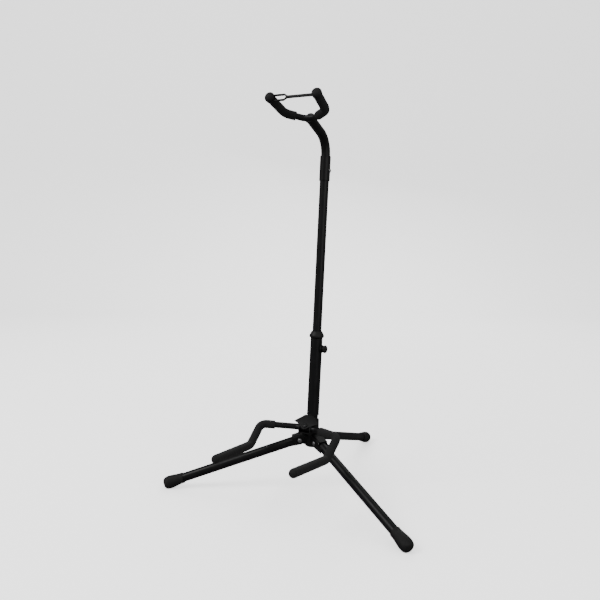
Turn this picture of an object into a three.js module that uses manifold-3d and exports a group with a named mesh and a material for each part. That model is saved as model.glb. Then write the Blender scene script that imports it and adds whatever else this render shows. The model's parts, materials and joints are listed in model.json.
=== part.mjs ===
// Folding tripod guitar stand: a telescoping column that leans back, three folding legs, a padded
// cradle for the body of the instrument and a padded yoke with a rubber strap for its neck.
// Millimetres, +Z up. The front, where the instrument stands, is towards -Y.
// The origin is on the floor, in the middle of the stand's footprint.

import * as THREE from 'three';
import { mergeVertices } from 'three/addons/utils/BufferGeometryUtils.js';
import Module from 'manifold-3d';

const wasm = await Module();
wasm.setup();

// Clearances and cutting tools
const slipGap = 0.35;
const overrun = 5;

// Facets around round pieces
const tubeSides = 24;
const rodSides = 14;
const sleeveSides = 16;
const smallSides = 12;
const bendSteps = 4;
const domeSteps = 4;
const foldSteps = 3;

// Column: heights are measured along it, up from the point where the legs' centre lines meet
const columnLeanDegrees = 5.1;
const stemOuter = 22.2;
const stemWall = 1.2;
const stemBottom = -22;
const stemTop = 80;
const lowerTubeWall = 1.25;
const lowerTubeBottom = 45;
const lowerTubeTop = 208;
const upperTubeOuter = 19;
const upperTubeWall = 1.2;
const tubeOverlap = 64;
const stemPlugFlange = 2.4;
const stemPlugDepth = 9;
const stemPlugWall = 2;

// Bush on the foot of the upper tube
const bushLength = 18;
const bushFloor = 2;

// Collar in the mouth of the lower tube
const collarInsert = 15;
const collarRimOuter = 31;
const collarRimHeight = 3.6;
const collarUndercut = 2.2;
const collarConeHeight = 8.5;
const collarLip = 1.2;

// Clamp knob on the side of the lower tube
const knobDrop = 7;
const bossRadius = 8;
const bossLength = 2.6;
const studRadius = 3;
const knobRadius = 8.6;
const knobLength = 8.4;
const knobNeckRadius = 6;
const knobNeckLength = 2;
const knobCrown = 2.6;
const knobFlutes = 8;
const knobFluteRadius = 1.9;
const studGrip = 5;

// Coupler and gooseneck at the top of the column
const couplerBottom = 537.5;
const couplerLength = 51;
const couplerWall = 1.25;
const couplerScrewDrop = 4.5;
const couplerScrewRadius = 1.8;
const couplerScrewHeadRadius = 3.4;
const couplerScrewHeadHeight = 1.9;
const gooseneckStraight = 1.697;
const gooseneckRiseDegrees = 19.5;
const gooseneckLength = 83.3;
const gooseneckBend = 45;
const tubeButtGap = 2;

// Neck yoke: across and forward of the weld, in its own tilted plane
const yokeRodOuter = 12.7;
const yokeRodWall = 1.3;
const yokeFlatHalf = 12;
const yokeCornerAcross = 45;
const yokeCornerForward = 21.7;
const yokeTipAcross = 50.1;
const yokeTipForward = 79;
const yokeBend = 20;
const yokeSleeveWall = 2;
const yokeBareLeft = 26;
const yokeBareRight = 20;
const capRadius = 10;
const capDepth = 3;
const capFloor = 5.4;
const capChamfer = 0.8;
const capDome = 7.5;
const strapThickness = 3.2;
const strapHeight = 5.4;
const strapRingWall = 2.6;
const strapLoopLength = 36;
const strapLoopTaper = 6;
const strapLoopHalf = 7.4;
const strapStrand = 3.4;

// Cradle: across, forward and up from the middle of its hinge
const cradleAxisForward = 27;
const cradleAxisHeight = 22.5;
const cradleRodOuter = 12.7;
const cradleRodWall = 1.3;
const cradleFlatHalf = 24;
const cradleCornerAcross = 88.5;
const cradleCornerForward = 35.5;
const cradleCornerRise = 7.5;
const cradleDropAcross = 86.5;
const cradleDropForward = 82;
const cradleDropFall = 22.5;
const cradleTipAcross = 83;
const cradleTipForward = 206;
const cradleTipFall = 3.5;
const cradleRootBend = 16;
const cradleBend = 17;
const cradleSleeveWall = 1.9;
const cradleLeftDroopDegrees = 2;
const cradleSleeveLeftShare = 0.6;
const cradleSleeveRightShare = 0.2;
const cradleSleeveNose = 8;

// Folded bracket that carries the cradle
const bracketSheet = 2.5;
const shieldSlopeDegrees = 38;
const shieldLength = 27;
const shieldTopHalf = 9.5;
const shieldWingHalf = 28.5;
const shieldWingPlace = 8;
const shieldHipHalf = 20;
const shieldHipPlace = 4.5;
const shieldTipDrop = 8;
const shieldTipHalf = 3;
const shieldRodGap = 0.7;
const cheekBack = 6;
const cheekBackHeight = 36;
const cheekFrontMargin = 3;
const cheekBottom = 10.5;
const bracketFloorBack = 14;
const lockScrewRadius = 2.6;
const lockScrewHeadRadius = 4.6;
const lockScrewHeadHeight = 3;

// Leg hub
const hubWall = 3;
const hubBottom = -22;
const hubTop = 9;
const earThickness = 3;
const earRadius = 7.5;
const earRootDrop = 9;
const earRootRise = 10;
const hubChamfer = 1.2;

// Legs: lengths are measured outward from the fold pivot
const legSpreadDegrees = 120;
const legSlopeDegrees = 18.9;
const pivotRadius = 26;
const legTubeOuter = 19;
const legTubeWall = 1.2;
const legTubeStart = 11;
const footBallPlace = 294;
const channelSheet = 2;
const channelFold = 4.2;
const channelLength = 28;
const channelWebLength = 14;
const channelCheekRise = 6;
const channelNose = 9;
const channelFootRise = 4;
const stopGap = 0.8;
const rivetRadius = 3;
const rivetHeadRadius = 4.8;
const rivetHeadHeight = 2.6;

// Rubber feet
const footBallRadius = 13.6;
const footCollarRadius = 11;
const footCollarLength = 31;
const footNose = 11.5;
const footNoseRadius = 8;
const footSoleCut = 1.6;
const footBoreFloor = 4;

// Angles in radians
const columnLean = THREE.MathUtils.degToRad(columnLeanDegrees);
const legSlope = THREE.MathUtils.degToRad(legSlopeDegrees);
const legSpread = THREE.MathUtils.degToRad(legSpreadDegrees);
const shieldSlope = THREE.MathUtils.degToRad(shieldSlopeDegrees);
const neckRise = THREE.MathUtils.degToRad(gooseneckRiseDegrees);
const cradleLeftDroop = THREE.MathUtils.degToRad(cradleLeftDroopDegrees);
const quarterTurn = Math.PI / 2;
const legHeadings = { left: -legSpread / 2, right: legSpread / 2, rear: Math.PI };

// Sizes that follow from the driving ones
const stemRadius = stemOuter / 2;
const stemBore = stemRadius - stemWall;
const lowerTubeBore = stemRadius + slipGap;
const lowerTubeRadius = lowerTubeBore + lowerTubeWall;
const upperTubeRadius = upperTubeOuter / 2;
const guideBore = upperTubeRadius + slipGap;
const couplerRadius = guideBore + couplerWall;
const yokeRodRadius = yokeRodOuter / 2;
const yokeSleeveRadius = yokeRodRadius + slipGap + yokeSleeveWall;
const cradleRodRadius = cradleRodOuter / 2;
const legTubeRadius = legTubeOuter / 2;
const channelInner = legTubeRadius + slipGap;
const channelOuter = channelInner + channelSheet;
const hubBore = stemRadius + slipGap;
const hubRadius = hubBore + hubWall;
const earOuter = channelInner - slipGap;
const pivotDrop = pivotRadius * Math.tan(legSlope);

// Places up the column that follow from the pieces they belong to
const knobHeight = lowerTubeTop - collarInsert - knobDrop;
const upperTubeFoot = lowerTubeTop - tubeOverlap;
const gooseneckTurn = quarterTurn - neckRise;
const gooseneckFoot = couplerBottom + couplerLength + gooseneckStraight;
const gooseneckCornerHeight = gooseneckFoot + gooseneckBend * Math.tan(gooseneckTurn / 2);

// The feet's flat soles lie on the floor, which sets the height of the hub
const pivotHeight = footBallPlace * Math.sin(legSlope) + footBallRadius - footSoleCut;
const hubHeight = pivotHeight + pivotDrop;

// A bent rod's centre line: straight runs joined by arcs. Stations lie only where the line turns.
class RodPath extends THREE.Curve {
  constructor(corners, bendRadii) {
    super();
    this.points = [];
    this.tangents = [];
    const last = corners.length - 1;
    corners.forEach((corner, i) => {
      const into = corner.clone().sub(corners[Math.max(i - 1, 0)]).normalize();
      const out = corners[Math.min(i + 1, last)].clone().sub(corner).normalize();
      if (i === 0 || i === last) {
        this.points.push(corner.clone());
        this.tangents.push(i === 0 ? out : into);
        return;
      }
      const turn = into.angleTo(out);
      const radius = bendRadii[i - 1];
      const start = corner.clone().addScaledVector(into, -radius * Math.tan(turn / 2));
      const inward = out.clone().addScaledVector(into, -into.dot(out)).normalize();
      for (let k = 0; k <= bendSteps; k += 1) {
        const angle = (turn * k) / bendSteps;
        const point = start.clone().addScaledVector(into, radius * Math.sin(angle));
        this.points.push(point.addScaledVector(inward, radius * (1 - Math.cos(angle))));
        const tangent = into.clone().multiplyScalar(Math.cos(angle));
        this.tangents.push(tangent.addScaledVector(inward, Math.sin(angle)));
      }
    });
    this.steps = this.points.length - 1;
  }

  between(list, t) {
    const place = Math.min(Math.max(t, 0), 1) * this.steps;
    const before = Math.min(Math.floor(place), this.steps - 1);
    return list[before].clone().lerp(list[before + 1], place - before);
  }

  getPoint(t) {
    return this.between(this.points, t);
  }

  getPointAt(t) {
    return this.getPoint(t);
  }

  getTangent(t) {
    return this.between(this.tangents, t).normalize();
  }

  getTangentAt(t) {
    return this.getTangent(t);
  }
}

// Shapes and solids

function circle(radius) {
  return new THREE.Shape().absarc(0, 0, radius, 0, 2 * Math.PI, false);
}

function ring(outer, inner) {
  const shape = circle(outer);
  shape.holes.push(new THREE.Path().absarc(0, 0, inner, 0, 2 * Math.PI, true));
  return shape;
}

function polygon(points) {
  return new THREE.Shape(points.map(([x, y]) => new THREE.Vector2(x, y)));
}

function signedVolume(geometry) {
  const place = geometry.attributes.position;
  const index = geometry.index;
  const corner = [new THREE.Vector3(), new THREE.Vector3(), new THREE.Vector3()];
  let sum = 0;
  for (let i = 0; i < index.count; i += 3) {
    corner.forEach((vector, k) => vector.fromBufferAttribute(place, index.getX(i + k)));
    sum += corner[0].dot(corner[1].clone().cross(corner[2]));
  }
  return sum;
}

// One closed shell with shared corners and its faces pointing out
function closed(geometry) {
  const bare = geometry.clone();
  bare.deleteAttribute('normal');
  bare.deleteAttribute('uv');
  const merged = mergeVertices(bare);
  if (signedVolume(merged) < 0) {
    const index = merged.index.array;
    for (let i = 0; i < index.length; i += 3) {
      [index[i], index[i + 1]] = [index[i + 1], index[i]];
    }
  }
  return merged;
}

function toSolid(geometry) {
  const shell = closed(geometry);
  return new wasm.Manifold(
    new wasm.Mesh({
      numProp: 3,
      vertProperties: new Float32Array(shell.attributes.position.array),
      triVerts: new Uint32Array(shell.index.array),
    }),
  );
}

function fromSolid(solid) {
  const mesh = solid.getMesh();
  const geometry = new THREE.BufferGeometry();
  geometry.setAttribute('position', new THREE.BufferAttribute(new Float32Array(mesh.vertProperties), 3));
  geometry.setIndex(new THREE.BufferAttribute(new Uint32Array(mesh.triVerts), 1));
  return geometry;
}

function joined(...geometries) {
  return fromSolid(geometries.map(toSolid).reduce((sum, next) => sum.add(next)));
}

function cut(geometry, ...tools) {
  return fromSolid(tools.map(toSolid).reduce((rest, tool) => rest.subtract(tool), toSolid(geometry)));
}

// A solid of revolution about +Z, from pairs of radius and height
function turned(profile, sides) {
  const points = profile.map(([radius, height]) => new THREE.Vector2(radius, height));
  return new THREE.LatheGeometry(points, sides).rotateX(quarterTurn);
}

function rod(radius, bottom, top, sides) {
  return turned([[0, bottom], [radius, bottom], [radius, top], [0, top]], sides);
}

function tube(outer, inner, bottom, top, sides) {
  const wall = [[inner, bottom], [outer, bottom], [outer, top], [inner, top], [inner, bottom]];
  return turned(wall, sides);
}

function bentTube(path, outer, inner, sides) {
  const options = { steps: path.steps, bevelEnabled: false, extrudePath: path, curveSegments: sides / 2 };
  return new THREE.ExtrudeGeometry(inner > 0 ? ring(outer, inner) : circle(outer), options);
}

function plate(shape, thickness) {
  const options = { depth: thickness, bevelEnabled: false, curveSegments: smallSides / 2 };
  return new THREE.ExtrudeGeometry(shape, options).translate(0, 0, -thickness / 2);
}

// Points of an arc, from one angle to another, about a centre
function arcPoints(x, y, radius, from, to, steps) {
  return Array.from({ length: steps + 1 }, (_, k) => {
    const angle = from + ((to - from) * k) / steps;
    return [x + radius * Math.cos(angle), y + radius * Math.sin(angle)];
  });
}

function alongX(geometry) {
  return geometry.rotateY(quarterTurn);
}

// A plate whose outline is drawn as back-to-front and height, standing across X
function uprightPlate(shape, thickness) {
  const turn = new THREE.Matrix4().makeBasis(
    new THREE.Vector3(0, 1, 0),
    new THREE.Vector3(0, 0, 1),
    new THREE.Vector3(1, 0, 0),
  );
  return plate(shape, thickness).applyMatrix4(turn);
}

function box(lowX, highX, lowY, highY, lowZ, highZ) {
  const block = new THREE.BoxGeometry(highX - lowX, highY - lowY, highZ - lowZ);
  return block.translate((lowX + highX) / 2, (lowY + highY) / 2, (lowZ + highZ) / 2);
}

// Finishes
const blackPaint = { color: 0x17171a, roughness: 0.42, metalness: 0.35 };
const blackSheet = { color: 0x1a1a1c, roughness: 0.5, metalness: 0.4 };
const zincSteel = { color: 0xb9bbbd, roughness: 0.32, metalness: 0.9 };
const blackNylon = { color: 0x1c1c1e, roughness: 0.5, metalness: 0 };
const blackRubber = { color: 0x202022, roughness: 0.85, metalness: 0 };
const blackFoam = { color: 0x1b1b1c, roughness: 0.95, metalness: 0 };

function add(parent, name, geometry, finish) {
  const mesh = new THREE.Mesh(closed(geometry), new THREE.MeshStandardMaterial(finish));
  mesh.name = name;
  parent.add(mesh);
  return mesh;
}

// Frames that the pieces are placed in
const stand = new THREE.Group();
const hubFrame = new THREE.Group();
hubFrame.position.z = hubHeight;
stand.add(hubFrame);
const column = new THREE.Group();
column.rotation.x = -columnLean;
hubFrame.add(column);

// Base: stem, its plug, and the hub with three pairs of ears

function hubEars() {
  const root = [[0, -pivotDrop - earRootDrop], [0, -pivotDrop + earRootRise]];
  const nose = arcPoints(pivotRadius, -pivotDrop, earRadius, quarterTurn, -quarterTurn, smallSides / 2);
  const turn = new THREE.Matrix4().makeBasis(
    new THREE.Vector3(0, -1, 0),
    new THREE.Vector3(0, 0, 1),
    new THREE.Vector3(-1, 0, 0),
  );
  const ears = [];
  for (const heading of Object.values(legHeadings)) {
    for (const side of [-1, 1]) {
      const ear = plate(polygon([...root, ...nose]), earThickness).applyMatrix4(turn);
      ear.translate(side * (earOuter - earThickness / 2), 0, 0);
      ears.push(ear.rotateZ(heading));
    }
  }
  return ears;
}

function pivotBores() {
  return Object.values(legHeadings).map((heading) => {
    const reach = channelOuter + overrun;
    const bore = alongX(rod(rivetRadius + slipGap, -reach, reach, smallSides));
    bore.translate(0, -pivotRadius, -pivotDrop);
    return bore.rotateZ(heading);
  });
}

const hubBarrel = turned(
  [
    [0, hubBottom],
    [hubRadius - hubChamfer, hubBottom],
    [hubRadius, hubBottom + hubChamfer],
    [hubRadius, hubTop - hubChamfer],
    [hubRadius - hubChamfer, hubTop],
    [0, hubTop],
  ],
  tubeSides,
).rotateX(-columnLean);
const hubBoreTool = rod(hubBore, hubBottom - overrun, hubTop + overrun, tubeSides).rotateX(-columnLean);
add(hubFrame, 'leg_hub', cut(joined(hubBarrel, ...hubEars()), hubBoreTool, ...pivotBores()), blackSheet);

add(column, 'base_stem', tube(stemRadius, stemBore, stemBottom, stemTop, tubeSides), blackPaint);

const plugRadius = stemBore - slipGap;
const plugBore = plugRadius - stemPlugWall;
add(
  column,
  'stem_plug',
  turned(
    [
      [0, stemBottom - slipGap - stemPlugFlange],
      [stemRadius - stemPlugFlange / 2, stemBottom - slipGap - stemPlugFlange],
      [stemRadius, stemBottom - slipGap - stemPlugFlange / 2],
      [stemRadius, stemBottom - slipGap],
      [plugRadius, stemBottom - slipGap],
      [plugRadius, stemBottom + stemPlugDepth],
      [plugBore, stemBottom + stemPlugDepth],
      [plugBore, stemBottom],
      [0, stemBottom],
    ],
    tubeSides,
  ),
  blackNylon,
);

// Legs: in a leg's frame +Z runs outward along the tube, +Y is its upper side and +X runs across

// A rubber foot: a collar that swells to a ball, then rounds off to a blunt end
function footBody() {
  const bore = legTubeRadius + slipGap;
  const collarEnd = footBallPlace - footCollarLength;
  const swell = footBallRadius - footCollarRadius;
  const flank = Array.from({ length: domeSteps + 1 }, (_, k) => {
    const share = k / domeSteps;
    const radius = footCollarRadius + (swell * (1 - Math.cos(Math.PI * share))) / 2;
    return [radius, collarEnd + footCollarLength * share];
  });
  const nose = arcPoints(0, 0, 1, 0, quarterTurn, domeSteps).slice(1).map(([across, along]) => [
    footNoseRadius + (footBallRadius - footNoseRadius) * across,
    footBallPlace + footNose * along,
  ]);
  const profile = [
    [0, footBallPlace - footBoreFloor],
    [bore, footBallPlace - footBoreFloor],
    [bore, collarEnd],
    ...flank,
    ...nose,
    [0, footBallPlace + footNose],
  ];
  return turned(profile, tubeSides);
}

// The sole is cut flat where the floor meets the foot of an opened leg
function rubberFoot() {
  const opened = new THREE.Matrix4()
    .makeTranslation(0, -pivotRadius, pivotHeight)
    .multiply(new THREE.Matrix4().makeRotationX(quarterTurn + legSlope));
  const reach = pivotRadius + footBallPlace + footNose + overrun;
  const width = footBallRadius + overrun;
  const underFloor = box(-width, width, -reach, reach, -width, 0);
  const bulb = footBody().applyMatrix4(opened);
  return cut(bulb, underFloor).applyMatrix4(opened.clone().invert());
}

// A folded channel that straddles the hub's ears. Its web butts on the hub and stops the leg.
function legChannel() {
  const webEnd = hubRadius + stopGap - pivotRadius - channelInner * Math.sin(legSlope);
  const webStart = webEnd / Math.cos(legSlope);
  const innerFold = channelFold - channelSheet;
  const place = channelOuter - channelFold;
  const section = polygon([
    [-channelOuter, -channelNose],
    ...arcPoints(-place, place, channelFold, Math.PI, quarterTurn, foldSteps),
    ...arcPoints(place, place, channelFold, quarterTurn, 0, foldSteps),
    [channelOuter, -channelNose],
    [channelInner, -channelNose],
    ...arcPoints(place, place, innerFold, 0, quarterTurn, foldSteps),
    ...arcPoints(-place, place, innerFold, quarterTurn, Math.PI, foldSteps),
    [-channelInner, -channelNose],
  ]);
  const blank = plate(section, channelLength - webStart).translate(0, 0, (channelLength + webStart) / 2);
  const nose = arcPoints(0, 0, channelNose, Math.PI, Math.PI + quarterTurn, foldSteps);
  const side = polygon([
    [webStart, channelOuter + overrun],
    [webStart, channelCheekRise],
    [-channelNose, channelCheekRise],
    ...nose,
    [channelLength, channelFootRise - channelNose],
    [channelLength, channelCheekRise],
    [channelWebLength, channelCheekRise],
    [channelWebLength, channelOuter + overrun],
  ]);
  const reach = channelOuter + overrun;
  const trim = plate(side, 2 * reach).rotateY(-quarterTurn);
  const bore = alongX(rod(rivetRadius + slipGap, -reach, reach, smallSides));
  return cut(fromSolid(toSolid(blank).intersect(toSolid(trim))), bore);
}

function legRivet() {
  const face = channelOuter + slipGap;
  const dome = arcPoints(0, 0, 1, 0, quarterTurn, domeSteps).slice(0, -1);
  const tail = dome.map(([across, along]) => [rivetHeadRadius * across, -face - rivetHeadHeight * along]);
  const head = dome.map(([across, along]) => [rivetHeadRadius * across, face + rivetHeadHeight * along]);
  const profile = [
    [0, -face - rivetHeadHeight],
    ...tail.reverse(),
    [rivetRadius, -face],
    [rivetRadius, face],
    ...head,
    [0, face + rivetHeadHeight],
  ];
  return alongX(turned(profile, smallSides));
}

for (const [side, heading] of Object.entries(legHeadings)) {
  const swing = new THREE.Group();
  swing.rotation.z = heading;
  const leg = new THREE.Group();
  leg.position.set(0, -pivotRadius, pivotHeight);
  leg.rotation.x = quarterTurn + legSlope;
  swing.add(leg);
  stand.add(swing);
  const tubeEnd = footBallPlace - footBoreFloor - slipGap;
  const legTube = tube(legTubeRadius, legTubeRadius - legTubeWall, legTubeStart, tubeEnd, tubeSides);
  add(leg, `leg_tube_${side}`, legTube, blackPaint);
  add(leg, `leg_channel_${side}`, legChannel(), blackSheet);
  add(leg, `leg_rivet_${side}`, legRivet(), zincSteel);
  add(leg, `leg_foot_${side}`, rubberFoot(), blackRubber);
}

// Cradle bracket: two cheeks beside the stem, a sloping shield over the rod, and a floor under it

const axisY = -cradleAxisForward;
const axisZ = cradleAxisHeight;
const shieldUp = new THREE.Vector3(0, Math.cos(shieldSlope), Math.sin(shieldSlope));
const shieldOut = new THREE.Vector3(0, -Math.sin(shieldSlope), Math.cos(shieldSlope));
const shieldFoot = new THREE.Vector3(0, axisY, axisZ).addScaledVector(shieldOut, cradleRodRadius + shieldRodGap);

function shieldPlate() {
  const half = [
    [shieldTopHalf, shieldLength],
    [shieldWingHalf, shieldWingPlace],
    [shieldHipHalf, shieldHipPlace],
    [shieldTipHalf, -shieldTipDrop],
  ];
  const mirrored = half.map(([across, along]) => [-across, along]).reverse();
  const turn = new THREE.Matrix4().makeBasis(new THREE.Vector3(1, 0, 0), shieldUp, shieldOut);
  const sheet = plate(polygon([...half, ...mirrored]), bracketSheet).applyMatrix4(turn);
  const middle = shieldFoot.clone().addScaledVector(shieldOut, bracketSheet / 2);
  return sheet.translate(middle.x, middle.y, middle.z);
}

function cradleBracket() {
  const floorTop = axisZ - cradleRodRadius - slipGap;
  const front = axisY - cradleRodRadius - slipGap - cheekFrontMargin;
  const inShield = shieldFoot.clone().addScaledVector(shieldOut, bracketSheet / 2);
  const top = inShield.clone().addScaledVector(shieldUp, shieldLength - bracketSheet);
  const low = inShield.clone().addScaledVector(shieldUp, -bracketSheet);
  const side = polygon([
    [cheekBack, cheekBottom],
    [cheekBack, cheekBackHeight],
    [top.y, top.z],
    [low.y, low.z],
    [front, axisZ],
    [front, cheekBottom],
  ]);
  const inner = stemRadius + slipGap;
  const floorReach = inner + bracketSheet / 2;
  const floorBack = -bracketFloorBack;
  const floorPlate = box(-floorReach, floorReach, front, floorBack, floorTop - bracketSheet, floorTop);
  const pieces = [shieldPlate(), floorPlate];
  for (const hand of [-1, 1]) {
    pieces.push(uprightPlate(side, bracketSheet).translate(hand * (inner + bracketSheet / 2), 0, 0));
  }
  const reach = inner + bracketSheet + overrun;
  const rodBore = alongX(rod(cradleRodRadius + slipGap, -reach, reach, rodSides)).translate(0, axisY, axisZ);
  const screwBore = rod(lockScrewRadius + slipGap, 0, reach, smallSides).rotateX(shieldSlope);
  return cut(joined(...pieces), rodBore, screwBore.translate(0, axisY, axisZ));
}

add(hubFrame, 'cradle_bracket', cradleBracket(), blackSheet);

// The lock screw bears on the rod through the shield
const screwFace = cradleRodRadius + shieldRodGap + bracketSheet + slipGap;
const lockScrew = turned(
  [
    [0, cradleRodRadius + slipGap],
    [lockScrewRadius, cradleRodRadius + slipGap],
    [lockScrewRadius, screwFace],
    [lockScrewHeadRadius, screwFace],
    [lockScrewHeadRadius, screwFace + lockScrewHeadHeight / 2],
    [lockScrewRadius, screwFace + lockScrewHeadHeight],
    [0, screwFace + lockScrewHeadHeight],
  ],
  smallSides,
).rotateX(shieldSlope).translate(0, axisY, axisZ);
add(hubFrame, 'cradle_lock_screw', lockScrew, zincSteel);

// Cradle: one bent tube on its hinge, with a foam sleeve on each prong
const cradle = new THREE.Group();
cradle.position.set(0, axisY, axisZ);
hubFrame.add(cradle);

// The left arm hangs a little lower than the right one
function cradlePoints(hand, droop) {
  const points = {
    root: new THREE.Vector3(hand * cradleFlatHalf, 0, 0),
    corner: new THREE.Vector3(hand * cradleCornerAcross, -cradleCornerForward, cradleCornerRise),
    drop: new THREE.Vector3(hand * cradleDropAcross, -cradleDropForward, -cradleDropFall),
    tip: new THREE.Vector3(hand * cradleTipAcross, -cradleTipForward, -cradleTipFall),
  };
  Object.values(points).forEach((point) => point.applyAxisAngle(new THREE.Vector3(1, 0, 0), droop));
  return points;
}

const leftPoints = cradlePoints(-1, cradleLeftDroop);
const rightPoints = cradlePoints(1, 0);
const cradlePath = new RodPath(
  [
    leftPoints.tip,
    leftPoints.drop,
    leftPoints.corner,
    leftPoints.root,
    rightPoints.root,
    rightPoints.corner,
    rightPoints.drop,
    rightPoints.tip,
  ],
  [cradleBend, cradleBend, cradleRootBend, cradleRootBend, cradleBend, cradleBend],
);
const cradleBore = cradleRodRadius - cradleRodWall;
add(cradle, 'cradle_rod', bentTube(cradlePath, cradleRodRadius, cradleBore, rodSides), blackPaint);

// A shell on an axis: a solid turned about +Z, laid along a direction from a point
function laidAlong(geometry, point, direction) {
  const turn = new THREE.Quaternion().setFromUnitVectors(new THREE.Vector3(0, 0, 1), direction);
  return geometry.applyQuaternion(turn).translate(point.x, point.y, point.z);
}

function dome(radius, height, sides) {
  const arc = arcPoints(0, 0, 1, 0, quarterTurn, domeSteps).slice(0, -1);
  const curve = arc.map(([across, along]) => [radius * across, height * along]);
  return turned([[0, -slipGap], [radius, -slipGap], ...curve, [0, height]], sides);
}

function cradleSleeve({ root, corner, drop, tip }, startShare) {
  const start = root.clone().lerp(corner, startShare);
  const back = root.clone().sub(corner).normalize();
  const ahead = tip.clone().sub(drop).normalize();
  const floor = tip.clone().addScaledVector(ahead, slipGap);
  const bends = [cradleBend, cradleBend];
  const bore = cradleRodRadius + slipGap;
  const outer = bore + cradleSleeveWall;
  const body = bentTube(new RodPath([start, corner, drop, floor], bends), outer, 0, sleeveSides);
  const early = start.clone().addScaledVector(back, overrun);
  const core = bentTube(new RodPath([early, corner, drop, floor], bends), bore, 0, rodSides);
  const nose = laidAlong(dome(outer - slipGap, cradleSleeveNose, sleeveSides), floor, ahead);
  return cut(joined(body, nose), core);
}

add(cradle, 'cradle_sleeve_left', cradleSleeve(leftPoints, cradleSleeveLeftShare), blackFoam);
add(cradle, 'cradle_sleeve_right', cradleSleeve(rightPoints, cradleSleeveRightShare), blackFoam);

// Lower tube with the clamp knob
const knobStart = lowerTubeRadius + bossLength + slipGap;
const studBore = studRadius + slipGap;
const studHole = alongX(rod(studBore, 0, knobStart, smallSides)).translate(0, 0, knobHeight);
const lowerTube = tube(lowerTubeRadius, lowerTubeBore, lowerTubeBottom, lowerTubeTop, tubeSides);
add(column, 'lower_tube', cut(lowerTube, studHole), blackPaint);

const bossDisc = alongX(rod(bossRadius, 0, lowerTubeRadius + bossLength, tubeSides)).translate(0, 0, knobHeight);
const bossSeat = rod(lowerTubeRadius + slipGap, lowerTubeBottom, lowerTubeTop, tubeSides);
add(column, 'clamp_boss', cut(bossDisc, bossSeat, studHole), blackSheet);

const stud = rod(studRadius, upperTubeRadius + slipGap, knobStart + studGrip, smallSides);
add(column, 'clamp_stud', alongX(stud).translate(0, 0, knobHeight), zincSteel);

function clampKnob() {
  const socket = knobStart + studGrip + slipGap;
  const end = knobStart + knobLength;
  const body = turned(
    [
      [studBore, knobStart],
      [knobNeckRadius, knobStart],
      [knobNeckRadius, knobStart + knobNeckLength],
      [knobRadius, knobStart + 2 * knobNeckLength],
      [knobRadius, end - knobCrown],
      [knobRadius - knobCrown, end],
      [0, end],
      [0, socket],
      [studBore, socket],
      [studBore, knobStart],
    ],
    tubeSides,
  );
  const flutes = Array.from({ length: knobFlutes }, (_, k) => {
    const groove = rod(knobFluteRadius, knobStart, end + overrun, smallSides / 2);
    groove.translate(knobRadius + knobFluteRadius / 2, 0, 0);
    return groove.rotateZ((2 * Math.PI * k) / knobFlutes);
  });
  return alongX(cut(body, ...flutes)).translate(0, 0, knobHeight);
}

add(column, 'clamp_knob', clampKnob(), blackNylon);

// Collar in the mouth of the lower tube
const insertRadius = lowerTubeBore - slipGap;
const rimBase = lowerTubeTop + slipGap;
const rimLow = rimBase + collarUndercut;
const rimHigh = rimLow + collarRimHeight;
const collarRim = collarRimOuter / 2;
add(
  column,
  'height_collar',
  turned(
    [
      [guideBore, lowerTubeTop - collarInsert],
      [insertRadius, lowerTubeTop - collarInsert],
      [insertRadius, rimBase],
      [lowerTubeRadius, rimBase],
      [collarRim, rimLow],
      [collarRim, rimHigh],
      [guideBore + collarLip, rimHigh + collarConeHeight],
      [guideBore, rimHigh + collarConeHeight],
      [guideBore, lowerTubeTop - collarInsert],
    ],
    tubeSides,
  ),
  blackNylon,
);

// Upper tube with the bush that guides its foot
const bushRadius = lowerTubeBore - slipGap;
const bushSeat = upperTubeFoot - slipGap;
add(
  column,
  'slide_bush',
  turned(
    [
      [0, bushSeat - bushFloor],
      [bushRadius, bushSeat - bushFloor],
      [bushRadius, bushSeat - bushFloor + bushLength],
      [guideBore, bushSeat - bushFloor + bushLength],
      [guideBore, bushSeat],
      [0, bushSeat],
    ],
    tubeSides,
  ),
  blackNylon,
);

const tubesMeet = couplerBottom + couplerLength / 2;
const screwPlace = tubesMeet - couplerScrewDrop;
const screwReach = couplerRadius + overrun;
const couplerHole = alongX(rod(couplerScrewRadius + slipGap, 0, screwReach, smallSides));
couplerHole.translate(0, 0, screwPlace);
const upperBore = upperTubeRadius - upperTubeWall;
const upperTube = tube(upperTubeRadius, upperBore, upperTubeFoot, tubesMeet - tubeButtGap / 2, tubeSides);
add(column, 'upper_tube', cut(upperTube, couplerHole), blackPaint);

const coupler = tube(couplerRadius, guideBore, couplerBottom, couplerBottom + couplerLength, tubeSides);
add(column, 'neck_coupler', cut(coupler, couplerHole), blackPaint);

const headFace = couplerRadius + slipGap;
const couplerScrew = turned(
  [
    [0, upperBore],
    [couplerScrewRadius, upperBore],
    [couplerScrewRadius, headFace],
    [couplerScrewHeadRadius, headFace],
    [couplerScrewHeadRadius, headFace + couplerScrewHeadHeight / 2],
    [couplerScrewRadius, headFace + couplerScrewHeadHeight],
    [0, headFace + couplerScrewHeadHeight],
  ],
  smallSides,
);
add(column, 'coupler_screw', alongX(couplerScrew).translate(0, 0, screwPlace), zincSteel);

// Gooseneck: bends forward and ends in a mouth that wraps the yoke's rod
const weldPoint = new THREE.Vector3(
  0,
  -gooseneckLength * Math.cos(neckRise),
  gooseneckCornerHeight + gooseneckLength * Math.sin(neckRise),
);

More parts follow.
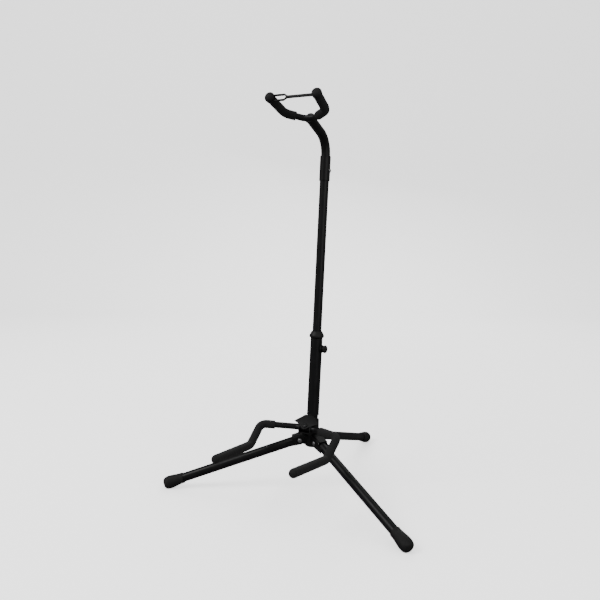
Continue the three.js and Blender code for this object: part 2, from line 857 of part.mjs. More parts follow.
function gooseneck() {
  const foot = new THREE.Vector3(0, 0, tubesMeet + tubeButtGap / 2);
  const corner = new THREE.Vector3(0, 0, gooseneckCornerHeight);
  const path = new RodPath([foot, corner, weldPoint], [gooseneckBend]);
  const reach = upperTubeRadius + overrun;
  const mouth = alongX(rod(yokeRodRadius + slipGap, -reach, reach, tubeSides));
  mouth.translate(weldPoint.x, weldPoint.y, weldPoint.z);
  return cut(bentTube(path, upperTubeRadius, upperBore, tubeSides), mouth);
}

add(column, 'gooseneck_tube', gooseneck(), blackPaint);

// Neck yoke: -Y runs forward in the yoke's own plane and +Z stands square to it
const yoke = new THREE.Group();
yoke.position.copy(weldPoint);
yoke.rotation.x = -neckRise;
column.add(yoke);

function yokePoints(hand) {
  return {
    flat: new THREE.Vector3(hand * yokeFlatHalf, 0, 0),
    corner: new THREE.Vector3(hand * yokeCornerAcross, -yokeCornerForward, 0),
    tip: new THREE.Vector3(hand * yokeTipAcross, -yokeTipForward, 0),
  };
}

const yokeLeft = yokePoints(-1);
const yokeRight = yokePoints(1);
const yokePath = new RodPath(
  [yokeLeft.tip, yokeLeft.corner, yokeLeft.flat, yokeRight.flat, yokeRight.corner, yokeRight.tip],
  [yokeBend, yokeBend, yokeBend, yokeBend],
);
add(yoke, 'yoke_rod', bentTube(yokePath, yokeRodRadius, yokeRodRadius - yokeRodWall, rodSides), blackPaint);

// The strap lies square to the yoke between caps and foam, and the arms lean outward through it
const armLean = Math.atan2(yokeTipAcross - yokeCornerAcross, yokeTipForward - yokeCornerForward);
const strapPlace = capDepth + slipGap + strapThickness / 2 + capRadius * Math.sin(armLean);
const foamPlace = strapPlace + strapThickness / 2 + slipGap + yokeSleeveRadius * Math.sin(armLean);

function yokeSleeve({ flat, corner, tip }, bare) {
  const share = (bare - yokeFlatHalf) / (yokeCornerAcross - yokeFlatHalf);
  const start = flat.clone().lerp(corner, share);
  const end = tip.clone().addScaledVector(corner.clone().sub(tip).normalize(), foamPlace);
  const path = new RodPath([start, corner, end], [yokeBend]);
  return bentTube(path, yokeSleeveRadius, yokeRodRadius + slipGap, sleeveSides);
}

add(yoke, 'yoke_sleeve_left', yokeSleeve(yokeLeft, yokeBareLeft), blackFoam);
add(yoke, 'yoke_sleeve_right', yokeSleeve(yokeRight, yokeBareRight), blackFoam);

function yokeCap({ corner, tip }) {
  const bore = yokeRodRadius + slipGap;
  const domeBase = slipGap + capFloor - capDome;
  const arc = arcPoints(0, 0, 1, 0, quarterTurn, domeSteps).slice(0, -1);
  const profile = [
    [0, slipGap],
    [bore, slipGap],
    [bore, -capDepth],
    [capRadius - capChamfer, -capDepth],
    [capRadius, capChamfer - capDepth],
    ...arc.map(([across, along]) => [capRadius * across, domeBase + capDome * along]),
    [0, domeBase + capDome],
  ];
  return laidAlong(turned(profile, sleeveSides), tip, tip.clone().sub(corner).normalize());
}

add(yoke, 'yoke_cap_left', yokeCap(yokeLeft), blackRubber);
add(yoke, 'yoke_cap_right', yokeCap(yokeRight), blackRubber);

// Rubber strap across the mouth of the yoke: a ring on the right arm, a long loop over the left one

// Outline of a long eye: round at the left, then two parallel strands that close in on the bar
function eyeOutline(radius, half, shoulder, end, endHalf) {
  const lean = Math.asin(half / radius);
  const back = arcPoints(0, 0, radius, lean, 2 * Math.PI - lean, smallSides);
  return polygon([...back, [shoulder, -half], [end, -endHalf], [end, endHalf], [shoulder, half]]);
}

function neckStrap() {
  const back = yokeRight.corner.clone().sub(yokeRight.tip).normalize();
  const seat = yokeRight.tip.clone().addScaledVector(back, strapPlace);
  const hole = yokeRodRadius + 2 * slipGap;
  const ringRadius = hole + strapRingWall;
  const barHalf = strapHeight / 2;
  const shoulder = strapLoopLength - strapLoopTaper;
  const holeEnd = strapLoopLength - strapStrand;
  const holeHalf = strapLoopHalf - strapStrand;
  const outer = eyeOutline(ringRadius, strapLoopHalf, shoulder, strapLoopLength, barHalf);
  const inner = eyeOutline(hole, holeHalf, shoulder - strapStrand / 2, holeEnd, barHalf / 2);
  const barStart = holeEnd + strapStrand / 2 - seat.x;
  const barEnds = [[barStart, -barHalf], [seat.x, -barHalf], [seat.x, barHalf], [barStart, barHalf]];
  const middle = strapThickness / 2;
  const reach = middle + overrun;
  const loop = plate(outer, strapThickness).translate(-seat.x, 0, 0);
  const bar = plate(polygon(barEnds), strapThickness);
  const ringBody = rod(ringRadius, -middle, middle, sleeveSides).translate(seat.x, 0, 0);
  const gap = plate(inner, 2 * reach).translate(-seat.x, 0, 0);
  const eye = rod(hole, -reach, reach, sleeveSides).translate(seat.x, 0, 0);
  return cut(joined(loop, bar, ringBody), gap, eye).rotateX(quarterTurn).translate(0, seat.y, 0);
}

add(yoke, 'neck_strap', neckStrap(), blackRubber);

// The origin moves to the floor in the middle of the footprint
stand.updateMatrixWorld(true);
const extent = new THREE.Box3().setFromObject(stand, true);
stand.position.y = -(extent.min.y + extent.max.y) / 2;

export default stand;
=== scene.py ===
# %% [markdown]
# # A folding guitar stand
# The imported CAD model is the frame. Each piece below is drawn in the same frame, rides on one of its bodies, and
# mostly takes the place of the CAD solid it is named after. Sizes are typed in mm and turned into metres once, in
# the helper that moves points to their place. Outer radii and bores that several pieces share come first.

# %% Load the frame
import json
import math

import bmesh
import bpy
import numpy as np
from mathutils import Matrix, Vector


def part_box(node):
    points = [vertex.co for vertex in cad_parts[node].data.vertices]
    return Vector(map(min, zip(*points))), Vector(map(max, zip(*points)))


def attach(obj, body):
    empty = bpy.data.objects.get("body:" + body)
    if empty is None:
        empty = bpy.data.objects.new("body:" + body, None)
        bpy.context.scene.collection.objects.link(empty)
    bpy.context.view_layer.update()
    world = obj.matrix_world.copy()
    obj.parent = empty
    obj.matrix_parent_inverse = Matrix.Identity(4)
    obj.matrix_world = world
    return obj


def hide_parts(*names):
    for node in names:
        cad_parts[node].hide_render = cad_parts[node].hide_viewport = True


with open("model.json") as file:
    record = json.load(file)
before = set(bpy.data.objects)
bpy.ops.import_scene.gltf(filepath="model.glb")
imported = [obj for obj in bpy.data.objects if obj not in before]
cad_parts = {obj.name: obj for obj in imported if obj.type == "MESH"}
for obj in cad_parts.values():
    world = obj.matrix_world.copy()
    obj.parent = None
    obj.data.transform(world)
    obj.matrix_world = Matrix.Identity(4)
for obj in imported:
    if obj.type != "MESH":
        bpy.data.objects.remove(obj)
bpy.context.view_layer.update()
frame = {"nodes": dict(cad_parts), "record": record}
MM = 0.001
ROD, FOAM_BORE = 6.35, 6.42
THIN_TUBE, THIN_BORE = 9.5, 8.3
STEM_TUBE, STEM_BORE = 11.1, 9.9
COLUMN_TUBE, COLUMN_BORE = 12.7, 11.45
SLIP = 0.35
SLIDE_BORE = THIN_TUBE + SLIP
print("radii in mm: rods", ROD, "thin tube", THIN_TUBE, "stem", STEM_TUBE, "lower tube", COLUMN_TUBE)

# %% [markdown]
# ## Where things are
# The column leans back, the legs slope down from three pivots round it, and the yoke tilts up from the end of
# the bent neck. Every matrix could be typed out, but a chain of small moves and turns says how the stand goes
# together. Each of these frames has the same axes as in the CAD source.

# %% Frames
LEAN = math.radians(5.1)
SLOPE = math.radians(18.9)
RISE = math.radians(19.5)
FORWARD = -38.185
PIVOT_RADIUS = 26.0
LEG_TO_BALL, BALL_HEIGHT = 294.0, 12.0
PIVOT_HEIGHT = LEG_TO_BALL * math.sin(SLOPE) + BALL_HEIGHT
HUB_HEIGHT = PIVOT_HEIGHT + PIVOT_RADIUS * math.tan(SLOPE)


def at(x, y, z):
    """A move by x, y and z in mm."""
    return Matrix.Translation((x, y, z))


def about(axis, angle):
    """A turn about an axis by an angle in radians, counter-clockwise when the axis points at the eye."""
    return Matrix.Rotation(angle, 4, axis)


HUB = at(0, FORWARD, HUB_HEIGHT)
COLUMN = HUB @ about("X", -LEAN)
NECK_CORNER, NECK_REACH = 622.0, 83.3
WELD = (0, -NECK_REACH * math.cos(RISE), NECK_CORNER + NECK_REACH * math.sin(RISE))
YOKE = COLUMN @ at(*WELD) @ about("X", -RISE)
HINGE_BACK, HINGE_UP = -27.0, 22.5
CRADLE = HUB @ at(0, HINGE_BACK, HINGE_UP)
HEADINGS = {"left": -60, "right": 60, "rear": 180}
LEGS = {}
for side, heading in HEADINGS.items():
    turn = about("Z", math.radians(heading))
    LEGS[side] = at(0, FORWARD, PIVOT_HEIGHT) @ turn @ at(0, -PIVOT_RADIUS, 0) @ about("X", math.pi / 2 + SLOPE)
print("weld of the yoke at", [round(v, 1) for v in YOKE.translation], "mm")

# %% [markdown]
# ## Camera
# The camera stands 28 degrees to the right of the front, a little under 1.3 m away, and looks down 8 degrees. Its
# three directions are worked out from swing, tilt and roll and go straight into the camera's matrix, which leaves
# no doubt about the order of turns.

# %% Camera
swing, down, roll = (math.radians(a) for a in (28.14, 8.06, 0.31))
across = np.array([math.cos(swing), math.sin(swing), 0.0])
ahead = np.array([-math.sin(swing), math.cos(swing), 0.0])
sky = np.array([0.0, 0.0, 1.0])
aim = ahead * math.cos(down) - sky * math.sin(down)
rise = sky * math.cos(down) + ahead * math.sin(down)
right = across * math.cos(roll) + rise * math.sin(roll)
upward = rise * math.cos(roll) - across * math.sin(roll)
place = (-ahead * 1287.66 - across * 26.91 + sky * 588.9 + np.array([0, FORWARD, 0])) * MM

SENSOR, FOCAL_PIXELS, FRAME_PIXELS = 36, 627.27, 600
camera_data = bpy.data.cameras.new("camera")
camera_data.sensor_width = SENSOR
camera_data.lens = SENSOR * FOCAL_PIXELS / FRAME_PIXELS
camera = bpy.data.objects.new("camera", camera_data)
bpy.context.scene.collection.objects.link(camera)
camera.matrix_world = Matrix([[right[k], upward[k], -aim[k], place[k]] for k in range(3)] + [[0, 0, 0, 1]])
bpy.context.scene.camera = camera
print("camera at", place.round(3), "lens", round(camera_data.lens, 2), "mm")

# %% [markdown]
# ## Light
# A black stand on a white ground needs two different rooms: one that looks white, and one that doesn't turn the
# black coat grey. The sky is therefore bright to the camera and dim to everything else. Three large soft lamps
# give the tubes their long highlights, one from each side of the front and one from behind.

# %% Light
world = bpy.data.worlds.new("white_room")
world.use_nodes = True
sky_nodes, sky_links = world.node_tree.nodes, world.node_tree.links
seen = sky_nodes["Background"]
seen.inputs["Color"].default_value = (1, 1, 1, 1)
seen.inputs["Strength"].default_value = 2.1
lit = sky_nodes.new("ShaderNodeBackground")
lit.inputs["Color"].default_value = (1, 1, 1, 1)
lit.inputs["Strength"].default_value = 0.28
which = sky_nodes.new("ShaderNodeMixShader")
sky_links.new(sky_nodes.new("ShaderNodeLightPath").outputs["Is Camera Ray"], which.inputs["Fac"])
sky_links.new(lit.outputs["Background"], which.inputs[1])
sky_links.new(seen.outputs["Background"], which.inputs[2])
sky_links.new(which.outputs["Shader"], sky_nodes["World Output"].inputs["Surface"])
bpy.context.scene.world = world


def soft_light(name, place, target, size, watts):
    """A square lamp of the given size in metres that faces the target."""
    data = bpy.data.lights.new(name, "AREA")
    data.size, data.energy = size, watts
    lamp = bpy.data.objects.new(name, data)
    lamp.location = place
    lamp.rotation_euler = (Vector(target) - Vector(place)).to_track_quat("-Z", "Y").to_euler()
    bpy.context.scene.collection.objects.link(lamp)


soft_light("key", (-1.6, -1.9, 2.6), (0, 0, 0.35), 1.6, 34)
soft_light("fill", (2.2, -1.2, 1.2), (0, 0, 0.4), 1.8, 10)
soft_light("back", (-0.9, 2.3, 1.9), (0, 0, 0.4), 1.8, 16)

# %% [markdown]
# ## Surfaces as grids
# Nearly every piece is one grid of points P[i, j]. Row i is a ring round the piece, and j counts round the ring.
# A helper turns a grid into quads, closes its poles and shades it smooth up to a limit angle.

# %% Grid helper
def shaded(mesh, limit=32):
    """Smooth shading, with edges kept sharp where faces meet at more than the limit in degrees."""
    mesh.polygons.foreach_set("use_smooth", [True] * len(mesh.polygons))
    mesh.set_sharp_from_angle(angle=math.radians(limit))
    return mesh


def grid_mesh(name, grid, loop=False, limit=32):
    """Quads over P[i, j]. j wraps round, and i wraps too when loop is true, which makes a tube with a wall."""
    rows, columns = grid.shape[:2]
    index = np.arange(rows * columns).reshape(rows, columns)
    if loop:
        index = np.vstack([index, index[:1]])
    here, above = index[:-1], index[1:]
    faces = np.stack([here, np.roll(here, -1, 1), np.roll(above, -1, 1), above], -1).reshape(-1, 4)
    mesh = bpy.data.meshes.new(name)
    mesh.from_pydata(grid.reshape(-1, 3).tolist(), [], faces.tolist())
    work = bmesh.new()
    work.from_mesh(mesh)
    bmesh.ops.remove_doubles(work, verts=work.verts, dist=1e-6)
    bmesh.ops.dissolve_degenerate(work, edges=work.edges, dist=1e-7)
    work.to_mesh(mesh)
    work.free()
    return shaded(mesh, limit)


def moved(matrix, points):
    """The points, in mm in a piece's own frame, as metres in the stand's frame."""
    flat = np.asarray(points, float).reshape(-1, 3)
    turned = flat @ np.array(matrix.to_3x3()).T + np.array(matrix.translation)
    return turned.reshape(np.shape(points)) * MM


def mesh_points(mesh):
    """The mesh's points as an array with a row of x, y and z for each."""
    flat = np.empty(3 * len(mesh.vertices), np.float32)
    mesh.vertices.foreach_get("co", flat)
    return flat.reshape(-1, 3).astype(float)


print("the hub's middle lies at", moved(HUB, [(0, 0, 0)])[0].round(4), "m")

# %% [markdown]
# ## Rods along a path
# A bent rod's centre line is straight runs joined by arcs of a given radius. Round it goes a skin: rows of
# (distance along the path, radius), so the same call makes a solid rod, a walled tube, a foam sleeve or a knob.

# %% Paths and skins
def bent_path(corners, radii, spacing=3.0):
    """Centre line C(s): each corner P between unit directions a and b becomes an arc of radius R, which starts at
    P - a R tan(t/2), where t is the angle between a and b."""
    corners = [np.asarray(c, float) for c in corners]
    line = [corners[0]]
    for i in range(1, len(corners) - 1):
        a = corners[i] - corners[i - 1]
        b = corners[i + 1] - corners[i]
        a, b = a / np.linalg.norm(a), b / np.linalg.norm(b)
        t = math.acos(np.clip(a @ b, -1, 1))
        radius = radii[i - 1]
        start = corners[i] - a * radius * math.tan(t / 2)
        inward = b - a * (a @ b)
        inward /= np.linalg.norm(inward)
        for angle in np.linspace(0, t, max(6, int(math.degrees(t) / 4))):
            line.append(start + a * radius * math.sin(angle) + inward * radius * (1 - math.cos(angle)))
    line.append(corners[-1])
    fine = [line[0]]
    for before, after in zip(line, line[1:]):
        steps = max(1, int(np.linalg.norm(after - before) / spacing))
        fine += [before + (after - before) * k / steps for k in range(1, steps + 1)]
    return np.array(fine)


def run_along(path):
    """Distance from the start of the path to each of its points."""
    return np.concatenate([[0], np.cumsum(np.linalg.norm(np.diff(path, axis=0), axis=1))])


def path_length(path):
    """Length of the path: the sum of the distances between neighbouring points."""
    return float(run_along(path)[-1])


def carried_frames(path):
    """Tangent T, and two normals N and B = T x N that turn as little as they can along the path."""
    tangent = np.gradient(path, axis=0)
    tangent /= np.linalg.norm(tangent, axis=1)[:, None]
    first = np.array([1.0, 0, 0]) if abs(tangent[0][0]) < 0.9 else np.array([0, 1.0, 0])
    normals = []
    for t in tangent:
        first = first - t * (first @ t)
        first = first / np.linalg.norm(first)
        normals.append(first)
    normals = np.array(normals)
    return tangent, normals, np.cross(tangent, normals)


def skin(path, rows, sides=48, shape=None):
    """P(s, u) = C(s) + r(s, u) (N(s) cos u + B(s) sin u). Rows hold (s, r). Beyond either end of the path the line
    runs straight on. shape(s, u, r) may change the radius."""
    path = np.asarray(path, float)
    tangent, normal, _ = carried_frames(path)
    along = run_along(path)
    rows = np.asarray(rows, float)
    s = np.clip(rows[:, 0], 0, along[-1])
    beyond = rows[:, 0] - s

    def mixed(values):
        """The values at each row's distance, straight between the two nearest points of the path."""
        return np.stack([np.interp(s, along, values[:, k]) for k in range(3)], -1)

    t, n = mixed(tangent), mixed(normal)
    t /= np.linalg.norm(t, axis=1)[:, None]
    n -= t * (n * t).sum(1)[:, None]
    n /= np.linalg.norm(n, axis=1)[:, None]
    centre = mixed(path) + t * beyond[:, None]
    u = np.linspace(0, 2 * math.pi, sides, endpoint=False)
    radius = np.repeat(rows[:, 1:2], sides, 1)
    if shape is not None:
        radius = shape(rows[:, :1], u[None, :], radius)
    ring = n[:, None] * np.cos(u)[None, :, None] + np.cross(t, n)[:, None] * np.sin(u)[None, :, None]
    return centre[:, None] + radius[..., None] * ring


def wall_rows(length, outer, inner, step=4.0, bevel=0.35, start=0.0):
    """Rows of a tube's wall: up the outside, round the end, and back down the bore."""
    low, high = start, start + length
    middle = np.arange(low + bevel + step, high - bevel - step / 2, step)
    up = [(low, outer - bevel), (low + bevel, outer), *((s, outer) for s in middle), (high - bevel, outer)]
    top = [(high, outer - bevel), (high, inner + bevel), (high - bevel, inner)]
    return up + top + [(low + bevel, inner), (low, inner + bevel)]


def rod_rows(length, step, edge=0.35):
    """Rows of a solid rod with its two ends rounded off."""
    middle = [(s, ROD) for s in np.arange(2, length - 1, step)]
    return [(0, 0), (0, ROD - edge), (edge, ROD), *middle, (length - edge, ROD), (length, ROD - edge), (length, 0)]


def solid_rows(points, round_off=0.4, steps=3):
    """Rows of a turned solid from its outline, with each corner of the outline rounded off."""
    points = [np.asarray(p, float) for p in points]
    rows = [tuple(points[0])]
    for before, corner, after in zip(points, points[1:], points[2:]):
        a, b = before - corner, after - corner
        reach = min(round_off, np.linalg.norm(a) / 2.2, np.linalg.norm(b) / 2.2)
        a, b = a / np.linalg.norm(a) * reach, b / np.linalg.norm(b) * reach
        for k in range(steps + 1):
            t = k / steps
            rows.append(tuple(corner + a * (1 - t) ** 2 + b * t ** 2))
    rows.append(tuple(points[-1]))
    return rows


UP = np.array([[0, 0, 0], [0, 0, 1.0]])
print("a straight leg tube has", len(wall_rows(280, THIN_TUBE, THIN_BORE)), "rows of points")

# %% [markdown]
# ## Finishes
# Every finish comes from noise in object space, so the grain has the same size on every piece. Each has its own
# drift of colour, grain in the bump, patches of roughness, and the wear that its place gets. A small class keeps
# the nodes readable: each of its calls adds one step and gives back a socket.

# %% Finish helper
class Finish:
    """Builds one node material step by step."""

    def __init__(self, name, metallic, specular):
        self.material = bpy.data.materials.new(name)
        self.material.use_nodes = True
        self.nodes = self.material.node_tree.nodes
        self.links = self.material.node_tree.links
        self.shader = self.nodes["Principled BSDF"]
        self.shader.inputs["Metallic"].default_value = metallic
        self.shader.inputs["Specular IOR Level"].default_value = specular
        self.place = self.nodes.new("ShaderNodeTexCoord").outputs["Object"]

    def noise(self, scale, detail=3.0, stretch=(1, 1, 1), rough=0.5):
        """Noise of the given number of features a metre, drawn out along an axis by stretch."""
        mapping = self.nodes.new("ShaderNodeMapping")
        mapping.inputs["Scale"].default_value = stretch
        self.links.new(self.place, mapping.inputs["Vector"])
        noise = self.nodes.new("ShaderNodeTexNoise")
        noise.inputs["Scale"].default_value = scale
        noise.inputs["Detail"].default_value = detail
        noise.inputs["Roughness"].default_value = rough
        self.links.new(mapping.outputs["Vector"], noise.inputs["Vector"])
        return noise.outputs["Fac"]

    def cells(self, scale, feature="F1"):
        """Distance to the nearest of the given number of cells a metre."""
        cells = self.nodes.new("ShaderNodeTexVoronoi")
        cells.feature = feature
        cells.inputs["Scale"].default_value = scale
        self.links.new(self.place, cells.inputs["Vector"])
        return cells.outputs["Distance"]

    def ramp(self, value, low, high, out_low=0.0, out_high=1.0):
        """The value spread from low..high to out_low..out_high, and held outside that."""
        spread = self.nodes.new("ShaderNodeMapRange")
        for socket, number in (("From Min", low), ("From Max", high), ("To Min", out_low), ("To Max", out_high)):
            spread.inputs[socket].default_value = number
        self.links.new(value, spread.inputs["Value"])
        return spread.outputs["Result"]

    def product(self, a, b, operation="MULTIPLY"):
        """a times b, or a plus b with ADD. Either may be a number or a socket."""
        both = self.nodes.new("ShaderNodeMath")
        both.operation = operation
        for socket, value in zip(both.inputs, (a, b)):
            if isinstance(value, (int, float)):
                socket.default_value = value
            else:
                self.links.new(value, socket)
        return both.outputs["Value"]

    def colour(self, amount, first, second):
        """First colour where amount is 0, second where it is 1. Either may be a colour or a socket."""
        mix = self.nodes.new("ShaderNodeMix")
        mix.data_type = "RGBA"
        self.links.new(amount, mix.inputs["Factor"])
        for socket, value in ((mix.inputs["A"], first), (mix.inputs["B"], second)):
            if isinstance(value, tuple):
                socket.default_value = (*value, 1)
            else:
                self.links.new(value, socket)
        return mix.outputs["Result"]

    def bump(self, height, strength, depth, below=None):
        """A bump of the given depth in metres, on top of another bump."""
        bump = self.nodes.new("ShaderNodeBump")
        bump.inputs["Strength"].default_value = strength
        bump.inputs["Distance"].default_value = depth
        self.links.new(height, bump.inputs["Height"])
        if below is not None:
            self.links.new(below, bump.inputs["Normal"])
        return bump.outputs["Normal"]

    def done(self, colour, roughness, normal):
        """Joins the three sockets to the shader and gives back the material."""
        self.links.new(colour, self.shader.inputs["Base Color"])
        self.links.new(roughness, self.shader.inputs["Roughness"])
        self.links.new(normal, self.shader.inputs["Normal"])
        return self.material


print("a finish is built from noise, cells, ramps, mixes and bumps")

# %% [markdown]
# ## Powder coat
# Tube and sheet carry baked powder. It could be a flat black, but real powder has a fine orange peel, and it gets
# dull where hands and sleeves rub along it. Tubes get rub marks along their length, pressed sheet gets spots.

# %% Powder coat on tube and on sheet
def powder_coat(name, base, rub, low, high, rub_axis):
    """Black powder coat: orange peel about 0.7 mm across, thin rub marks along one axis, and dull patches."""
    coat = Finish(name, 0.0, 0.3)
    drift = coat.ramp(coat.noise(28, 3), 0.35, 0.65)
    marks = coat.noise(1, 4, rub_axis, 0.6)
    rubbed = coat.product(coat.ramp(marks, 0.6, 0.72), coat.ramp(coat.noise(14, 2), 0.42, 0.6))
    tone = coat.colour(drift, base, tuple(c * 1.45 for c in base))
    dull = coat.product(coat.ramp(drift, 0, 1, low, high), coat.product(rubbed, 0.22), "ADD")
    peel = coat.bump(coat.noise(1400, 2), 0.35, 0.00006)
    grit = coat.bump(coat.cells(5200), 0.12, 0.00003, peel)
    return coat.done(coat.colour(rubbed, tone, rub), dull, coat.bump(rubbed, 0.1, 0.00003, grit))


black_paint = powder_coat("black_paint", (0.0085, 0.0085, 0.0092), (0.03, 0.03, 0.031), 0.3, 0.42, (260, 260, 9))
black_sheet = powder_coat("black_sheet", (0.0075, 0.0075, 0.0078), (0.034, 0.034, 0.035), 0.44, 0.58, (90, 90, 90))
print("powder coat:", len(black_paint.node_tree.nodes), "nodes")

# %% [markdown]
# ## Zinc
# Rivets and screws are zinc-plated steel, the only bright spots on the stand. Plating is cloudy, and grime sits on
# it. The screw in the middle of the bracket is nearly black in the photograph, so it gets a copy with a darker grey
# and darker grime.

# %% Zinc on steel screws and rivets
def zinc_coat(name, silver, grime_tone, grime_from):
    """Zinc plating with a cloudy grey drift, and a film of grime wherever the noise is over grime_from."""
    zinc = Finish(name, 1.0, 0.5)
    grime = zinc.ramp(zinc.noise(420, 4), grime_from, grime_from + 0.18)
    cloud = zinc.colour(zinc.ramp(zinc.noise(160, 2), 0.3, 0.7), silver, tuple(c * 1.35 for c in silver))
    return zinc.done(
        zinc.colour(grime, cloud, grime_tone),
        zinc.product(zinc.ramp(zinc.noise(900, 3), 0.3, 0.7, 0.24, 0.4), zinc.product(grime, 0.2), "ADD"),
        zinc.bump(zinc.noise(2600, 3), 0.2, 0.00003),
    )


zinc_steel = zinc_coat("zinc_steel", (0.4, 0.4, 0.41), (0.14, 0.135, 0.13), 0.5)
# The lock screw's zinc: the same plating with a darker grey, and grime that is darker and covers more of it.
darker_zinc = zinc_coat("darker_zinc", (0.12, 0.12, 0.122), (0.03, 0.03, 0.03), 0.42)
print("zinc, clean and oily")

# %% [markdown]
# ## Nylon and rubber
# The collar and the knob are moulded nylon with a spark-eroded grain, drawn as soft cells. Feet, caps and strap
# are rubber, a little greyer, with dust in broad patches and fine pores.

# %% Moulded nylon and rubber
nylon = Finish("black_nylon", 0.0, 0.4)
spark = nylon.bump(nylon.cells(2600, "SMOOTH_F1"), 0.35, 0.00006)
black_nylon = nylon.done(
    nylon.colour(nylon.ramp(nylon.noise(60, 3), 0.35, 0.65), (0.012, 0.012, 0.013), (0.02, 0.02, 0.021)),
    nylon.ramp(nylon.noise(240, 3), 0.3, 0.7, 0.42, 0.58),
    nylon.bump(nylon.noise(700, 3), 0.15, 0.00004, spark),
)

rubber = Finish("black_rubber", 0.0, 0.3)
dust = rubber.ramp(rubber.noise(90, 5, rough=0.65), 0.5, 0.75)
pores = rubber.bump(rubber.noise(3200, 2), 0.3, 0.00005)
black_rubber = rubber.done(
    rubber.colour(dust, (0.021, 0.021, 0.0215), (0.045, 0.044, 0.042)),
    rubber.product(rubber.ramp(rubber.noise(300, 3), 0.3, 0.7, 0.6, 0.74), rubber.product(dust, 0.15), "ADD"),
    rubber.bump(rubber.noise(260, 4), 0.12, 0.0001, pores),
)
print("nylon and rubber")

# %% [markdown]
# ## Foam
# The sleeves are closed-cell foam. Its skin is a field of tiny burst cells over a slow unevenness, and it has
# almost no gloss. A trace of sheen stands for the fuzz at grazing angles.

# %% Closed-cell foam
foam = Finish("black_foam", 0.0, 0.22)
shine = foam.ramp(foam.noise(38, 3), 0.4, 0.65)
cells = foam.bump(foam.ramp(foam.cells(1500), 0.0, 0.6), 0.5, 0.0001)
black_foam = foam.done(
    foam.colour(foam.ramp(foam.noise(700, 3), 0.4, 0.7), (0.02, 0.02, 0.0205), (0.036, 0.036, 0.0365)),
    foam.ramp(shine, 0, 1, 0.86, 0.68),
    foam.bump(foam.noise(170, 3), 0.3, 0.00035, cells),
)
foam.shader.inputs["Sheen Weight"].default_value = 0.06
foam.shader.inputs["Sheen Roughness"].default_value = 0.6
print("foam:", len(black_foam.node_tree.nodes), "nodes")

# %% [markdown]
# ## Which solid gets which finish
# The record names a finish for every solid. The CAD solids that stay in view take theirs from that list, so they
# match the new pieces beside them. The darker zinc is the one finish that has no place in the list.

# %% Finishes by slot
SLOTS = {
    "black_paint": black_paint, "black_sheet": black_sheet, "zinc_steel": zinc_steel,
    "black_nylon": black_nylon, "black_rubber": black_rubber, "black_foam": black_foam,
}
for row in frame["record"]["subparts"]:
    mesh = frame["nodes"][row["node"]].data
    mesh.materials.clear()
    mesh.materials.append(SLOTS[row["material_slot"]])
print("finishes:", ", ".join(SLOTS))

# %% [markdown]
# ## Pieces
# A new piece needs an object, a body to ride on, a slot for its finish and the CAD solids it stands for. One helper
# does all four, and another says how far the piece's box is from that of its solid, which keeps the sizes honest.

# %% Piece helper
def piece(name, mesh, body, slot, *nodes):
    """A mesh as a piece that rides on a body, has a slot's finish, and takes the place of CAD nodes."""
    made = bpy.data.objects.new(name, mesh)
    bpy.context.scene.collection.objects.link(made)
    mesh.materials.clear()
    mesh.materials.append(SLOTS[slot])
    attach(made, body)
    if nodes:
        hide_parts(*nodes)
    return made


def off(piece_made, node):
    """How far the piece's box is from its CAD node's box, at the worst corner, in mm."""
    points = mesh_points(piece_made.data)
    low, high = (np.array(corner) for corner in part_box(node))
    return round(float(max(np.abs(points.min(0) - low).max(), np.abs(points.max(0) - high).max())) / MM, 2)


print("pieces are made by piece() and measured by off()")

# %% [markdown]
# ## Legs
# Each leg is a tube with a bulbous rubber foot. In a leg's frame Z runs outward along the tube and Y is its upper
# side. The foot could be a stretched ball, but a turned outline also has the rolled lip, the flank and the blunt
# end of the real one. It is drawn as a full bulb and then flattened where it would pass through the floor.

# %% Leg tubes and feet
def straight(name, matrix, rows, body, slot, *nodes, sides=48, loop=False, shape=None, limit=32):
    """A turned piece about the Z axis of its frame."""
    grid = moved(matrix, skin(UP, rows, sides, shape))
    return piece(name, grid_mesh(name, grid, loop, limit), body, slot, *nodes)


def foot_rows():
    """Radius of a foot along the leg: a rolled lip, a flank r = 11 + 1.3 (1 - cos pi t), a blunt quarter ellipse."""
    rows = [(270, 9.6), (263.4, 9.6), (263, 10.0), (263, 10.6), (263.4, 11.0), (264.6, 11.25), (265.8, 11.0)]
    rows += [(266 + 28 * t, 11 + 1.3 * (1 - math.cos(math.pi * t))) for t in np.linspace(0.02, 1, 16)]
    rows += [(LEG_TO_BALL + 11.5 * math.sin(a), 8 + 5.6 * math.cos(a)) for a in np.linspace(0.1, math.pi / 2, 12)]
    return rows + [(305.5, 7.0), (305.4, 4.0), (305.3, 0.0)]


for side, matrix in LEGS.items():
    body = f"{side}_leg"
    rows = wall_rows(278.65, THIN_TUBE, THIN_BORE, start=11, step=8)
    straight(f"tube_{side}", matrix, rows, body, "black_paint", f"leg_tube_{side}", loop=True)
    grid = moved(matrix, skin(UP, foot_rows(), 64))
    grid[..., 2] = np.maximum(grid[..., 2], 0)
    foot = piece(f"foot_{side}", grid_mesh(f"foot_{side}", grid), body, "black_rubber", f"leg_foot_{side}")
    print("foot", side, "off its CAD box by", off(foot, f"leg_foot_{side}"), "mm")


# %% [markdown]
# ## Sheet metal
# Ears, cheeks and the strap are flat plates with holes. A filled 2D curve with a bevel gives a plate with rounded
# edges in a few lines, and is turned into a mesh at once. Several plates that are welded together become one mesh.

